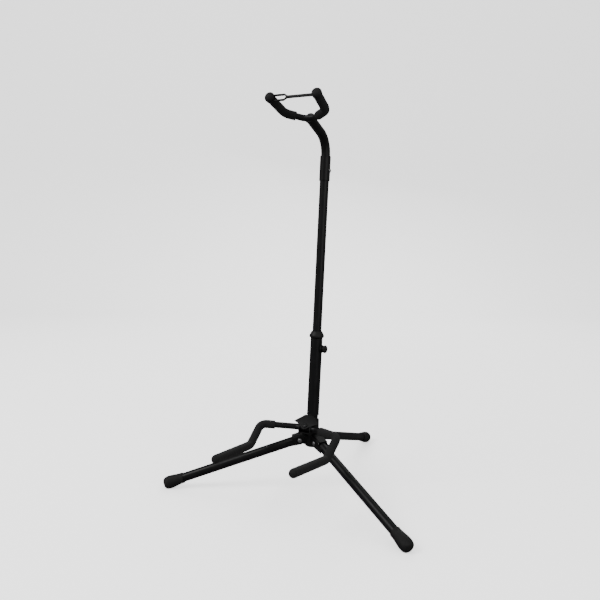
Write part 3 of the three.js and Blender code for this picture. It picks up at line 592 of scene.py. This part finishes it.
# %% Plates
def plate(name, outlines, thickness, matrix, edge=0.35):
    """A flat plate with rounded edges in its frame's XY plane. The first outline is its edge, the rest are holes."""
    curve = bpy.data.curves.new(name, "CURVE")
    curve.dimensions = "2D"
    curve.fill_mode = "BOTH"
    curve.extrude = thickness / 2 - edge
    curve.bevel_depth = edge
    curve.bevel_resolution = 2
    curve.offset = -edge
    for outline in outlines:
        spline = curve.splines.new("POLY")
        spline.points.add(len(outline) - 1)
        for point, (x, y) in zip(spline.points, outline):
            point.co = (x, y, 0, 1)
        spline.use_cyclic_u = True
    holder = bpy.data.objects.new(name, curve)
    bpy.context.scene.collection.objects.link(holder)
    graph = bpy.context.evaluated_depsgraph_get()
    mesh = bpy.data.meshes.new_from_object(holder.evaluated_get(graph))
    bpy.data.objects.remove(holder)
    mesh.vertices.foreach_set("co", moved(matrix, mesh_points(mesh)).ravel())
    work = bmesh.new()
    work.from_mesh(mesh)
    bmesh.ops.remove_doubles(work, verts=work.verts, dist=1e-6)
    bmesh.ops.recalc_face_normals(work, faces=work.faces)
    work.to_mesh(mesh)
    work.free()
    return mesh


def merged(name, *meshes):
    """Several meshes as one, each still a closed shell."""
    work = bmesh.new()
    for mesh in meshes:
        work.from_mesh(mesh)
    whole = bpy.data.meshes.new(name)
    work.to_mesh(whole)
    work.free()
    return shaded(whole)


def arc(x, y, radius, start, end, steps=12):
    """Points of an arc about (x, y), with its angles in degrees."""
    return [
        (x + radius * math.cos(a), y + radius * math.sin(a))
        for a in np.radians(np.linspace(start, end, steps + 1))
    ]


print("an arc of 12 steps ends at", np.round(arc(0, 0, 1, 0, 90)[-1], 3))

# %% [markdown]
# ## Leg channels and rivets
# Each leg ends in a pressed channel that straddles two ears of the hub, with a rivet through all of it. The channel
# is one sheet folded twice, so it is drawn as one grid that runs over the folds, and the rivet's hole is cut last.

# %% Channels and rivets
DOME = [(math.sin(a), math.cos(a)) for a in np.radians(np.linspace(0, 85, 9))]


def rivet_rows(face=12.2, head=4.8, height=2.6):
    """A shank with a low dome on either end."""
    tail = [(-face - height * along, head * across) for across, along in DOME]
    front = [(face + height * along, head * across) for across, along in reversed(DOME)]
    return [*tail, (-face, head), (-face, 3), (face, 3), (face, head), *front]


def drilled(mesh, matrix, radius, reach):
    """The mesh with a round hole along the X axis of the given frame."""
    rows = [(-reach, 0), (-reach, radius), (reach, radius), (reach, 0)]
    tool_mesh = grid_mesh("drill", moved(matrix @ about("Y", math.pi / 2), skin(UP, rows, 32)))
    holder, tool = bpy.data.objects.new("holder", mesh), bpy.data.objects.new("drill", tool_mesh)
    for made in (holder, tool):
        bpy.context.scene.collection.objects.link(made)
    difference = holder.modifiers.new("drill", "BOOLEAN")
    difference.object, difference.operation, difference.solver = tool, "DIFFERENCE", "EXACT"
    graph = bpy.context.evaluated_depsgraph_get()
    result = bpy.data.meshes.new_from_object(holder.evaluated_get(graph))
    bpy.data.objects.remove(holder)
    bpy.data.objects.remove(tool)
    return shaded(result)


def channel_mesh(name, matrix):
    """P(w, v): w runs across the sheet, up one cheek, round two folds of inner radius 2.2 and down the other cheek.
    v runs round the sheet's edge, from z0(w) to z1(w) on the outside and back on the inside."""
    inside, nose, fold, sheet_thick, cheek_end, web_end = 9.85, 9.0, 2.2, 2.0, 28.0, 14.0
    web_start = (HUB_RADIUS + 0.8 - PIVOT_RADIUS - inside * math.sin(SLOPE)) / math.cos(SLOPE)
    climb = [-nose + nose * math.sin(a) for a in np.radians(np.linspace(0, 90, 13))]
    climb = [y for y in climb if y < -5] + list(np.arange(-5.0, 5.6, 0.6)) + [5.7, 6.0, 6.8]
    rows = []
    for y in climb:
        back, front_z = -math.sqrt(nose ** 2 - min(y, 0) ** 2), min(cheek_end, (y + nose) * 7)
        if y >= 6:
            back, front_z = web_start, web_end
        rows.append(((-inside, y), (-1.0, 0.0), back, front_z))
    centre = inside - fold
    for a in np.radians(np.linspace(180, 90, 9)):
        out = (math.cos(a), math.sin(a))
        rows.append(((-centre + fold * out[0], centre + fold * out[1]), out, web_start, web_end))
    rows += [((-x, y), (-nx, ny), back, front_z) for (x, y), (nx, ny), back, front_z in reversed(rows)]
    place, normal, back, front_z = (np.array(column, float) for column in zip(*rows))
    back, front_z = back[:, None], front_z[:, None]
    edge = np.minimum(0.4, (front_z - back) / 4)
    run = np.linspace((back + edge)[:, 0], (front_z - edge)[:, 0], 8, axis=1)
    flat = np.zeros_like(run)
    z = np.hstack([run, front_z, front_z, run[:, ::-1], back, back])
    out = np.hstack([flat + sheet_thick, sheet_thick - edge, edge, flat, edge, sheet_thick - edge])[..., None]
    grid = np.concatenate([place[:, None] + normal[:, None] * out, z[..., None]], -1)
    return drilled(grid_mesh(name, moved(matrix, grid)), matrix, 3.3, 14)


HUB_RADIUS = 14.45
for side, matrix in LEGS.items():
    channel = channel_mesh(f"channel_{side}", matrix)
    piece(f"channel_{side}", channel, f"{side}_leg", "black_sheet", f"leg_channel_{side}")
    pin = matrix @ about("Y", math.pi / 2)
    straight(f"rivet_{side}", pin, rivet_rows(), "base", "zinc_steel", f"leg_rivet_{side}")
print("a channel has", len(channel.polygons), "faces")

# %% [markdown]
# ## Hub
# The hub is a short barrel round the stem, with a pair of thick ears for each leg. A boolean could fuse them, but
# it leaves ragged seams on rounded edges, and the welds between them are small. So barrel and ears are separate
# closed shells in one mesh.

# %% Hub
drop = PIVOT_RADIUS * math.tan(SLOPE)
chamfer = HUB_RADIUS - 1.2
barrel = [(-22, COLUMN_BORE), (-22, chamfer), (-20.8, HUB_RADIUS), (7.8, HUB_RADIUS), (9, chamfer), (9, COLUMN_BORE)]
hub_meshes = [grid_mesh("hub", moved(COLUMN, skin(UP, barrel, 72)), loop=True, limit=50)]
for side, heading in HEADINGS.items():
    ear = [(10.5, -drop - 9), *arc(PIVOT_RADIUS, -drop, 7.5, -90, 90, 16), (10.5, -drop + 10)]
    for x in (-8, 8):
        stood = Matrix(((0, 0, 1, x), (-1, 0, 0, 0), (0, 1, 0, 0), (0, 0, 0, 1)))
        turned = HUB @ about("Z", math.radians(heading)) @ stood
        hub_meshes.append(plate("ear", [ear], 3, turned, 0.4))
hub_piece = piece("hub", merged("hub", *hub_meshes), "base", "black_sheet", "leg_hub")
print("hub off its CAD box by", off(hub_piece, "leg_hub"), "mm")


# %% [markdown]
# ## Weld beads
# A hand weld is a row of small overlapping puddles. A torus would look like a rubber ring, so the bead's radius
# rises and falls as it goes round, with a slower drift on top.

# %% Weld beads
def bead(name, matrix, loop, radius, body, ripples=26):
    """P(s, u) = C(s) + m(s) (N cos u + B sin u) round a closed line C, with m(s) = radius (1 + 0.14 cos(ripples s)),
    which leaves the small steps of a hand weld. N points away from the middle of the line."""
    line = np.asarray(loop, float)
    tangent = np.roll(line, -1, 0) - np.roll(line, 1, 0)
    tangent /= np.linalg.norm(tangent, axis=1)[:, None]
    outward = line - line.mean(0)
    outward -= tangent * (outward * tangent).sum(1)[:, None]
    outward /= np.linalg.norm(outward, axis=1)[:, None]
    s = np.linspace(0, 2 * math.pi, len(line), endpoint=False)
    size = radius * (1 + 0.14 * np.cos(ripples * s) + 0.08 * np.sin(3 * s + 1))
    u = np.linspace(0, 2 * math.pi, 12, endpoint=False)
    sideways = np.cross(tangent, outward)
    ring = outward[:, None] * np.cos(u)[None, :, None] + sideways[:, None] * np.sin(u)[None, :, None]
    grid = line[:, None] + ring * size[:, None, None]
    return piece(name, grid_mesh(name, moved(matrix, grid), loop=True, limit=60), body, "black_sheet")


def circle(radius, height, steps=168):
    """Points (radius cos a, radius sin a, height) for equal steps of the angle a."""
    a = np.linspace(0, 2 * math.pi, steps, endpoint=False)
    return np.stack([radius * np.cos(a), radius * np.sin(a), np.full(steps, height)], -1)


bead("weld_hub_top", COLUMN, circle(11.6, 9.1), 1.5, "base")
bead("weld_hub_foot", COLUMN, circle(12.2, -22.1), 1.1, "base")
print("two beads at the hub")

# %% [markdown]
# ## Cradle bracket
# A sloping shield over the hinge rod is folded into two cheeks beside the stem, with a floor plate below. The screw
# in the middle of the shield bears on the rod. It could be one folded grid, as the channels are, but it has holes
# in three directions, which flat plates take more easily. Each plate is set in its place by a frame.

# %% Bracket
BETA = math.radians(38)
SHIELD = CRADLE @ about("X", BETA)
base_height = ROD + 0.7
sheet = 2.5
middle = base_height + sheet / 2


def on_shield(s):
    """Point of the shield's middle surface at distance s up its slope, as (back, up) in the hub's frame."""
    back = HINGE_BACK - middle * math.sin(BETA) + s * math.cos(BETA)
    return (back, HINGE_UP + middle * math.cos(BETA) + s * math.sin(BETA))


shield = [(9.5, 27), (28.5, 8), (20, 4.5), (3, -8), (-3, -8), (-20, 4.5), (-28.5, 8), (-9.5, 27)]
floor_top = HINGE_UP - ROD - SLIP
front, floor_half, floor_back = HINGE_BACK - ROD - SLIP - 3, 12.7, -14
cheek_foot, cheek_back = 10.5, 6
cheek = [(cheek_back, cheek_foot), (cheek_back, 36), on_shield(24.5), on_shield(-2.5)]
cheek += [(front, HINGE_UP), (front, cheek_foot)]
bracket = [plate("shield", [shield, arc(0, 0, 2.95, 0, 345, 23)], sheet, SHIELD @ at(0, 0, middle), 0.6)]
for hand in (-1, 1):
    x = hand * (STEM_TUBE + SLIP + sheet / 2)
    stood = Matrix(((0, 0, 1, x), (1, 0, 0, 0), (0, 1, 0, 0), (0, 0, 0, 1)))
    rod_hole = arc(HINGE_BACK, HINGE_UP, ROD + SLIP, 0, 345, 47)
    bracket.append(plate("cheek", [cheek, rod_hole], sheet, HUB @ stood, 0.5))
lying = [(-floor_half, front), (floor_half, front), (floor_half, floor_back), (-floor_half, floor_back)]
bracket.append(plate("floor", [lying], sheet, HUB @ at(0, 0, floor_top - sheet / 2), 0.5))
piece("bracket", merged("bracket", *bracket), "base", "black_sheet", "cradle_bracket")
print("bracket of", len(bracket), "plates")

# %% [markdown]
# ## Screws
# The screws have low pan heads with a cross recess. The head is a height field over rings of points, so the cross
# is sunk by a formula instead of a cut, and its rim stays soft.


# %% Screws with a cross recess
def screw(name, matrix, face, shank, head, height, foot, body, node):
    """A pan head: z = face + height (1 - 0.45 (r / head)^4), sunk where the nearer of |x| and |y| is under the
    recess's half width and the farther one is within its arms."""
    arms = head * 0.62
    radii = np.concatenate([np.linspace(head, head * 0.9, 4), np.linspace(head * 0.87, 0.0, 34)])
    u = np.linspace(0, 2 * math.pi, 96, endpoint=False)
    r, angle = np.meshgrid(radii, u, indexing="ij")
    x, y = r * np.cos(angle), r * np.sin(angle)
    z = face + height * (1 - 0.45 * (r / head) ** 4)
    near = np.minimum(np.abs(x), np.abs(y))
    far = np.maximum(np.abs(x), np.abs(y))
    sunk = np.clip((head * 0.17 - near) / (head * 0.06), 0, 1) * np.clip((arms - far) / (head * 0.1), 0, 1)
    z -= height * 0.6 * sunk
    top = np.stack([x, y, z], -1)
    rows = [(foot, 0), (foot, shank), (face, shank), (face, head * 0.97), (face + 0.15, head)]
    z, r = (np.array(column, float)[:, None] for column in zip(*rows))
    lower = np.stack([r * np.cos(u), r * np.sin(u), z + 0 * u], -1)
    grid = np.concatenate([lower, top])
    return piece(name, grid_mesh(name, moved(matrix, grid)), body, "zinc_steel", node)


lock = screw("lock_screw", SHIELD, base_height + sheet + SLIP, 2.6, 4.6, 3.0, 6.7, "base", "cradle_lock_screw")
lock.data.materials[0] = darker_zinc
print("lock screw off its CAD box by", off(lock, "cradle_lock_screw"), "mm")

# %% [markdown]
# ## Cradle
# One tube is bent six times: out from the hinge, forward and down, and up again along the prongs. Each prong wears a
# foam sleeve with a closed nose. Foam could be a plain thicker tube, but it buckles a little on the inside of each
# bend and is never quite round, so the skin's radius gets small ripples there and slow lumps everywhere.

# %% Cradle rod and foam
def crease(path, corners, depth=0.5, reach=9.0):
    """Foam buckles on the inner side of a bend. The radius loses depth * sin^2 ripples near each bend's inside."""
    tangent, normal, binormal = carried_frames(np.asarray(path, float))
    along = run_along(path)
    curl = np.gradient(tangent, axis=0) / np.gradient(along)[:, None]
    toward = np.stack([(curl * normal).sum(1), (curl * binormal).sum(1)], -1)
    amount = np.linalg.norm(toward, axis=1)
    inner = np.arctan2(toward[:, 1], toward[:, 0])
    centres = [along[np.argmin(np.linalg.norm(path - np.asarray(c), axis=1))] for c in corners]

    def shape(s, u, r):
        """r plus three slow waves of s and u, less the ripples where u faces the inside of a bend."""
        k = np.clip(np.interp(s[:, 0], along, amount) * 14, 0, 1)[:, None]
        side = inner[np.clip(np.searchsorted(along, s[:, 0]), 0, len(along) - 1)][:, None]
        mask = np.clip(np.cos(u - side), 0, 1) ** 1.5 * k
        ripple = sum(np.sin((s - c) * 2 * math.pi / 4.3) ** 2 * np.exp(-(((s - c) / reach) ** 2)) for c in centres)
        lumps = 0.10 * np.sin(s * 0.31 + 2 * u) + 0.07 * np.sin(s * 0.83 - 3 * u + 1) + 0.05 * np.sin(s * 1.7 + u)
        changed = r + lumps * np.clip(r - 6.5, 0, 1) - depth * mask * ripple * np.clip(r - 6.9, 0, 1)
        return np.where(r > 1, changed, r)

    return shape


def foam_sleeve(name, matrix, corners, radii, outer, body, node, nose=0.0):
    """A foam tube with rolled mouths, and a closed dome of the given length past its end if nose isn't 0."""
    path = bent_path(corners, radii, 1.1)
    length = path_length(path)
    bore = FOAM_BORE
    mouth = [(2.5, bore), (0.5, bore), (0.1, bore + 0.25), (0.0, bore + 0.6)]
    mouth += [(0.0, outer - 1.1), (0.25, outer - 0.5), (0.8, outer - 0.1)]
    rows = mouth + [(s, outer) for s in np.arange(1.6, length - 1.5, 1.1)]
    if nose:
        rows += [(length + nose * math.sin(a), outer * math.cos(a)) for a in np.linspace(0, math.pi / 2, 14)]
    else:
        rows += [(length - s, r) for s, r in reversed(mouth)]
        rows += [(s, bore) for s in np.arange(length - 4.5, 4, -2.0)]
    grid = skin(path, rows, 56, crease(path, corners[1:-1]))
    mesh = grid_mesh(name, moved(matrix, grid), loop=not nose, limit=75)
    made = piece(name, mesh, body, "black_foam", node)
    return made


def cradle_points(hand, droop=0.0):
    """Corners of one arm, turned down by the droop in degrees about the hinge."""
    arm = np.array([(24, 0, 0), (88.5, -35.5, 7.5), (86.5, -82, -22.5), (83, -206, -3.5)])
    c, d = math.cos(math.radians(droop)), math.sin(math.radians(droop))
    return list(np.stack([hand * arm[:, 0], arm[:, 1] * c - arm[:, 2] * d, arm[:, 1] * d + arm[:, 2] * c], -1))


left, right_side = cradle_points(-1, 2.0), cradle_points(1)
rod_path = bent_path([*reversed(left), *right_side], [17, 17, 16, 16, 17, 17], 3.0)
rod_length = path_length(rod_path)
bar_mesh = grid_mesh("cradle_bar", moved(CRADLE, skin(rod_path, rod_rows(rod_length, 2.5), 40)))
piece("cradle_bar", bar_mesh, "cradle", "black_paint", "cradle_rod")
for name, points, share in (("left", left, 0.6), ("right", right_side, 0.2)):
    root, corner, dip, tip = points
    start = root + (corner - root) * share
    step = (tip - dip) / np.linalg.norm(tip - dip)
    sleeve = foam_sleeve(
        f"prong_foam_{name}", CRADLE, [start, corner, dip, tip + step * SLIP], [17, 17], 8.6,
        "cradle", f"cradle_sleeve_{name}", nose=8)
    print("prong foam", name, "off its CAD box by", off(sleeve, f"cradle_sleeve_{name}"), "mm")

# %% [markdown]
# ## Column
# The lower tube is welded over the stem. A collar closes its mouth, and a knob on the right presses a stud against
# the upper tube, which carries the coupling sleeve and the bent neck. Solid rods would look the same from far off,
# but the tubes slide in one another, so each has a real wall, made as one closed ring of rows.

# %% Stem, lower tube and collar
KNOB_HEIGHT, STUD = 186, 3.0
stem_rows = wall_rows(102, STEM_TUBE, STEM_BORE, start=-22, step=10)
straight("stem", COLUMN, stem_rows, "base", "black_paint", "base_stem", loop=True)
lower_rows = wall_rows(163, COLUMN_TUBE, COLUMN_BORE, start=45, step=10)
lower = grid_mesh("lower_column", moved(COLUMN, skin(UP, lower_rows)), loop=True)
lower = drilled(lower, COLUMN @ at(12, 0, KNOB_HEIGHT), STUD + SLIP, 4)
piece("lower_column", lower, "base", "black_paint", "lower_tube")
bead("weld_column", COLUMN, circle(12.0, 44.9), 1.1, "base", 31)

collar = solid_rows([
    (193, SLIDE_BORE), (193, 11.1), (208.35, 11.1), (208.35, COLUMN_TUBE), (210.55, 15.5), (214.15, 15.5),
    (222.65, 11.05), (222.65, SLIDE_BORE), (193.5, SLIDE_BORE)], 0.6)
straight("collar", COLUMN, collar, "base", "black_nylon", "height_collar", sides=72, loop=True)
print("stem, lower tube with its stud hole, collar and one bead")

# %% [markdown]
# ## Clamp knob
# The knob is a small moulded hand wheel on a stud. It is turned from an outline, and eight finger flutes are pressed
# into its rim by the formula of its radius, so they fade out at the neck and the crown as moulded flutes do.

# %% Boss and knob
KNOB = COLUMN @ at(0, 0, KNOB_HEIGHT) @ about("Y", math.pi / 2)
boss = [(12.45, 3.4), (12.45, 8.9), (12.9, 8.6), (13.5, 8.2), (14.9, 8.0), (15.3, 7.6), (15.3, 3.4), (14.9, 3.2)]
straight("boss", KNOB, boss, "base", "black_sheet", "clamp_boss", sides=64, loop=True)


def fluted(s, u, r):
    """Eight finger flutes: r falls by up to 0.9 mm where cos 8u is high, except at the neck and the crown."""
    grip = np.clip((s - 18.4) / 1.2, 0, 1) * np.clip((24.3 - s) / 0.9, 0, 1)
    return r - 0.9 * grip * np.clip(np.cos(8 * u), 0, 1) ** 1.6 * np.clip(r - 5, 0, 1)


knob = solid_rows([
    (15.65, 3.4), (15.65, 6), (17.65, 6), (19.65, 8.6), (21.5, 8.6), (24.05, 6.4),
    (24.05, 4.2), (23.55, 3.8), (23.5, 0)], 0.7)
knob_piece = straight("knob", KNOB, knob, "knob", "black_nylon", "clamp_knob", sides=96, shape=fluted)
print("knob off its CAD box by", off(knob_piece, "clamp_knob"), "mm")

# %% [markdown]
# ## Upper tube and bent neck
# The coupling sleeve joins the upper tube to the neck, which bends forward and is coped round the yoke's rod. A
# boolean would cut that mouth too, but leaves slivers in a thin wall. Here the neck's last ring is moved on to the
# rod's surface, then drawn in to the middle, which closes the end as a weld does.

# %% Upper tube and coupler
upper_rows = wall_rows(418, THIN_TUBE, THIN_BORE, start=144, step=12)
straight("upper_column", COLUMN, upper_rows, "mast", "black_paint", "upper_tube", loop=True)
coupler_rows = wall_rows(51, STEM_TUBE, SLIDE_BORE, start=537.5, step=8, bevel=0.5)
straight("coupler", COLUMN, coupler_rows, "mast", "black_paint", "neck_coupler", loop=True)
COUPLER_SCREW = COLUMN @ at(0, 0, 558.5) @ about("Y", math.pi / 2)
small_screw = screw("coupling_screw", COUPLER_SCREW, 11.45, 1.8, 3.4, 1.9, 8.5, "mast", "coupler_screw")
print("coupling screw off its CAD box by", off(small_screw, "coupler_screw"), "mm")

# %% Bent neck
neck_path = bent_path([(0, 0, 564), (0, 0, NECK_CORNER), WELD], [45], 2.0)
neck_length = path_length(neck_path)
rows = [(0, THIN_BORE), (0, THIN_TUBE), *((s, THIN_TUBE) for s in np.arange(2, neck_length - 4, 2.5))]
grid = skin(neck_path, rows, 48)
along = np.array([0, -math.cos(RISE), math.sin(RISE)])
above = np.array([0, math.sin(RISE), math.cos(RISE)])
side_x = grid[-1, :, 0]
side_y = (grid[-1] - np.array(WELD)) @ above
reach = -np.sqrt(np.clip(ROD ** 2 - side_y ** 2, 0, None))
mouth = np.array(WELD) + side_x[:, None] * np.array([1.0, 0, 0]) + side_y[:, None] * above + reach[:, None] * along
steps = np.linspace(0, 1, 5)[1:, None, None]
lip = mouth + (np.array(WELD) - mouth) * np.array([0.08, 0.5, 1.0])[:, None, None]
grid = np.concatenate([grid, grid[-1] + (mouth - grid[-1]) * steps, lip])
piece("neck", grid_mesh("neck", moved(COLUMN, grid)), "mast", "black_paint", "gooseneck_tube")
bead("weld_yoke", COLUMN, mouth, 1.3, "mast", 15)
print("neck", round(neck_length, 1), "mm along its bend, and the bead at its end")

# %% [markdown]
# ## Neck yoke
# The yoke is one rod bent four times. In its frame -Y runs forward and X across. Foam covers the bends and the arms,
# but leaves bare tube round the weld, a little more of it on the left. Each arm ends in a domed rubber cap. Strap
# and foam could be set by eye, but their places are worked out from the arms' slant, so that neither touches the
# other or the cap.

# %% Yoke rod, foam and caps
FLAT, CORNER, TIP = (12.0, 0.0), (45.0, -21.7), (50.1, -79.0)


def yoke_points(hand):
    """Corners of one arm from the middle of the bar: its flat's end, the bend and the tip."""
    return [np.array((hand * x, y, 0.0)) for x, y in (FLAT, CORNER, TIP)]


yoke_left, yoke_right = yoke_points(-1), yoke_points(1)
bar_path = bent_path([*reversed(yoke_left), *yoke_right], [20, 20, 20, 20], 2.5)
bar_length = path_length(bar_path)
bar_mesh = grid_mesh("yoke_bar", moved(YOKE, skin(bar_path, rod_rows(bar_length, 2.0), 40)))
piece("yoke_bar", bar_mesh, "mast", "black_paint", "yoke_rod")

CAP_DEPTH, CAP_RADIUS, FOAM_RADIUS, STRAP_THICK = 3.0, 10.0, 8.7, 3.2
SLANT = math.sin(math.atan2(TIP[0] - CORNER[0], CORNER[1] - TIP[1]))
STRAP_PLACE = CAP_DEPTH + SLIP + STRAP_THICK / 2 + CAP_RADIUS * SLANT
FOAM_PLACE = STRAP_PLACE + STRAP_THICK / 2 + SLIP + FOAM_RADIUS * SLANT
for name, points, bare in (("left", yoke_left, 26), ("right", yoke_right, 20)):
    flat, corner, tip = points
    start = flat + (corner - flat) * (bare - FLAT[0]) / (CORNER[0] - FLAT[0])
    step = (corner - tip) / np.linalg.norm(corner - tip)
    ends = [start, corner, tip + step * FOAM_PLACE]
    foam_sleeve(f"yoke_foam_{name}", YOKE, ends, [20], FOAM_RADIUS, "mast", f"yoke_sleeve_{name}")
    cap = [(SLIP, 0), (SLIP, FOAM_BORE), (-2.75, FOAM_BORE), (-CAP_DEPTH, 6.7)]
    cap += [(-CAP_DEPTH, 9.2), (-2.85, 9.65), (-2.4, CAP_RADIUS)]
    cap += [(-1.75 + 7.5 * math.sin(a), CAP_RADIUS * math.cos(a)) for a in np.linspace(0.02, math.pi / 2, 16)]
    cap_mesh = grid_mesh(f"cap_{name}", moved(YOKE, skin([tip, tip - step], cap, 64)))
    made = piece(f"cap_{name}", cap_mesh, "mast", "black_rubber", f"yoke_cap_{name}")
    print("cap", name, "off its CAD box by", off(made, f"yoke_cap_{name}"), "mm")

# %% [markdown]
# ## Rubber strap
# The strap keeps the neck of the guitar in the yoke. It is one flat moulding: a ring on the right arm, a bar across
# the mouth, and a long loop that hooks over the left arm. It is stretched tight, so a flat plate with rounded
# edges does for it. Its outline is drawn in the plane square to the arms.

# %% Strap
flat, corner, tip = yoke_right
seat = tip + (corner - tip) / np.linalg.norm(corner - tip) * STRAP_PLACE
hole, ring, bar_half, far = 7.05, 9.65, 2.7, -seat[0]
loop_half, slot_half = 7.4, 4.0
lean = math.degrees(math.asin(loop_half / ring))
hole_lean = math.degrees(math.asin(slot_half / hole))
open_by = math.degrees(math.asin(bar_half / ring))
shares = np.linspace(0, 1, 15)
closing = [(far + 28.5 + 9 * t, bar_half + (loop_half - bar_half) * (1 + math.cos(math.pi * t)) / 2) for t in shares]
outline = arc(far, 0, ring, lean, 360 - lean, 40) + [(x, -y) for x, y in closing]
outline += arc(seat[0], 0, ring, 180 + open_by, 540 - open_by, 40) + closing[::-1]
nose = [(far + 28 + 4.6 * math.sin(a), -slot_half * math.cos(a)) for a in np.linspace(0, math.pi, 15)]
loop_hole = arc(far, 0, hole, hole_lean, 360 - hole_lean, 36) + nose
eye = arc(seat[0], 0, hole, 0, 352, 44)
across_arms = YOKE @ at(0, seat[1], 0) @ about("X", math.pi / 2)
strap = plate("strap", [outline, loop_hole, eye], STRAP_THICK, across_arms, 0.6)
made = piece("strap", shaded(strap, 50), "mast", "black_rubber", "neck_strap")
print("strap off its CAD box by", off(made, "neck_strap"), "mm")

# %% [markdown]
# ## Floor
# A pale sweep of paper: a floor that curves up into a backdrop, square to the camera, so that no horizon shows.
# A white floor would throw light up on to the black tubes, so it is mid grey to every ray but the camera's own.

# %% Floor
bend, bend_start, backdrop_top, half = 0.9, 2.2, 3.4, 4.5
curve = [(bend - bend * math.cos(a), bend_start + bend * math.sin(a)) for a in np.radians(range(6, 91, 6))]
rows = [(0.0, -3.0), (0.0, bend_start), *curve, (backdrop_top, bend_start + bend)]
floor_mesh = bpy.data.meshes.new("floor")
points = [(x, y, z) for z, y in rows for x in (-half, half)]
floor_mesh.from_pydata(points, [], [(2 * i, 2 * i + 1, 2 * i + 3, 2 * i + 2) for i in range(len(rows) - 1)])
floor = bpy.data.objects.new("floor", shaded(floor_mesh))
floor.rotation_euler = (0, 0, swing)
bpy.context.scene.collection.objects.link(floor)
pale = Finish("pale_floor", 0.0, 0.1)
pale.done(
    pale.colour(pale.noise(2.5, 2), (0.2, 0.2, 0.2), (0.23, 0.23, 0.23)),
    pale.ramp(pale.noise(30, 2), 0.3, 0.7, 0.85, 0.95),
    pale.bump(pale.noise(300, 2), 0.05, 0.0001),
)
glow, matt, both, shown = (pale.nodes.new(f"Shader{kind}") for kind in (
    "NodeEmission", "NodeBsdfDiffuse", "NodeAddShader", "NodeMixShader"))
glow.inputs["Strength"].default_value = 1.1
matt.inputs["Color"].default_value = (2.6, 2.6, 2.6, 1)
pale.links.new(glow.outputs["Emission"], both.inputs[0])
pale.links.new(matt.outputs["BSDF"], both.inputs[1])
pale.links.new(pale.nodes.new("ShaderNodeLightPath").outputs["Is Camera Ray"], shown.inputs["Fac"])
pale.links.new(pale.shader.outputs["BSDF"], shown.inputs[1])
pale.links.new(both.outputs["Shader"], shown.inputs[2])
pale.links.new(shown.outputs["Shader"], pale.nodes["Material Output"].inputs["Surface"])
floor_mesh.materials.append(pale.material)
print("floor of", len(floor_mesh.polygons), "strips")
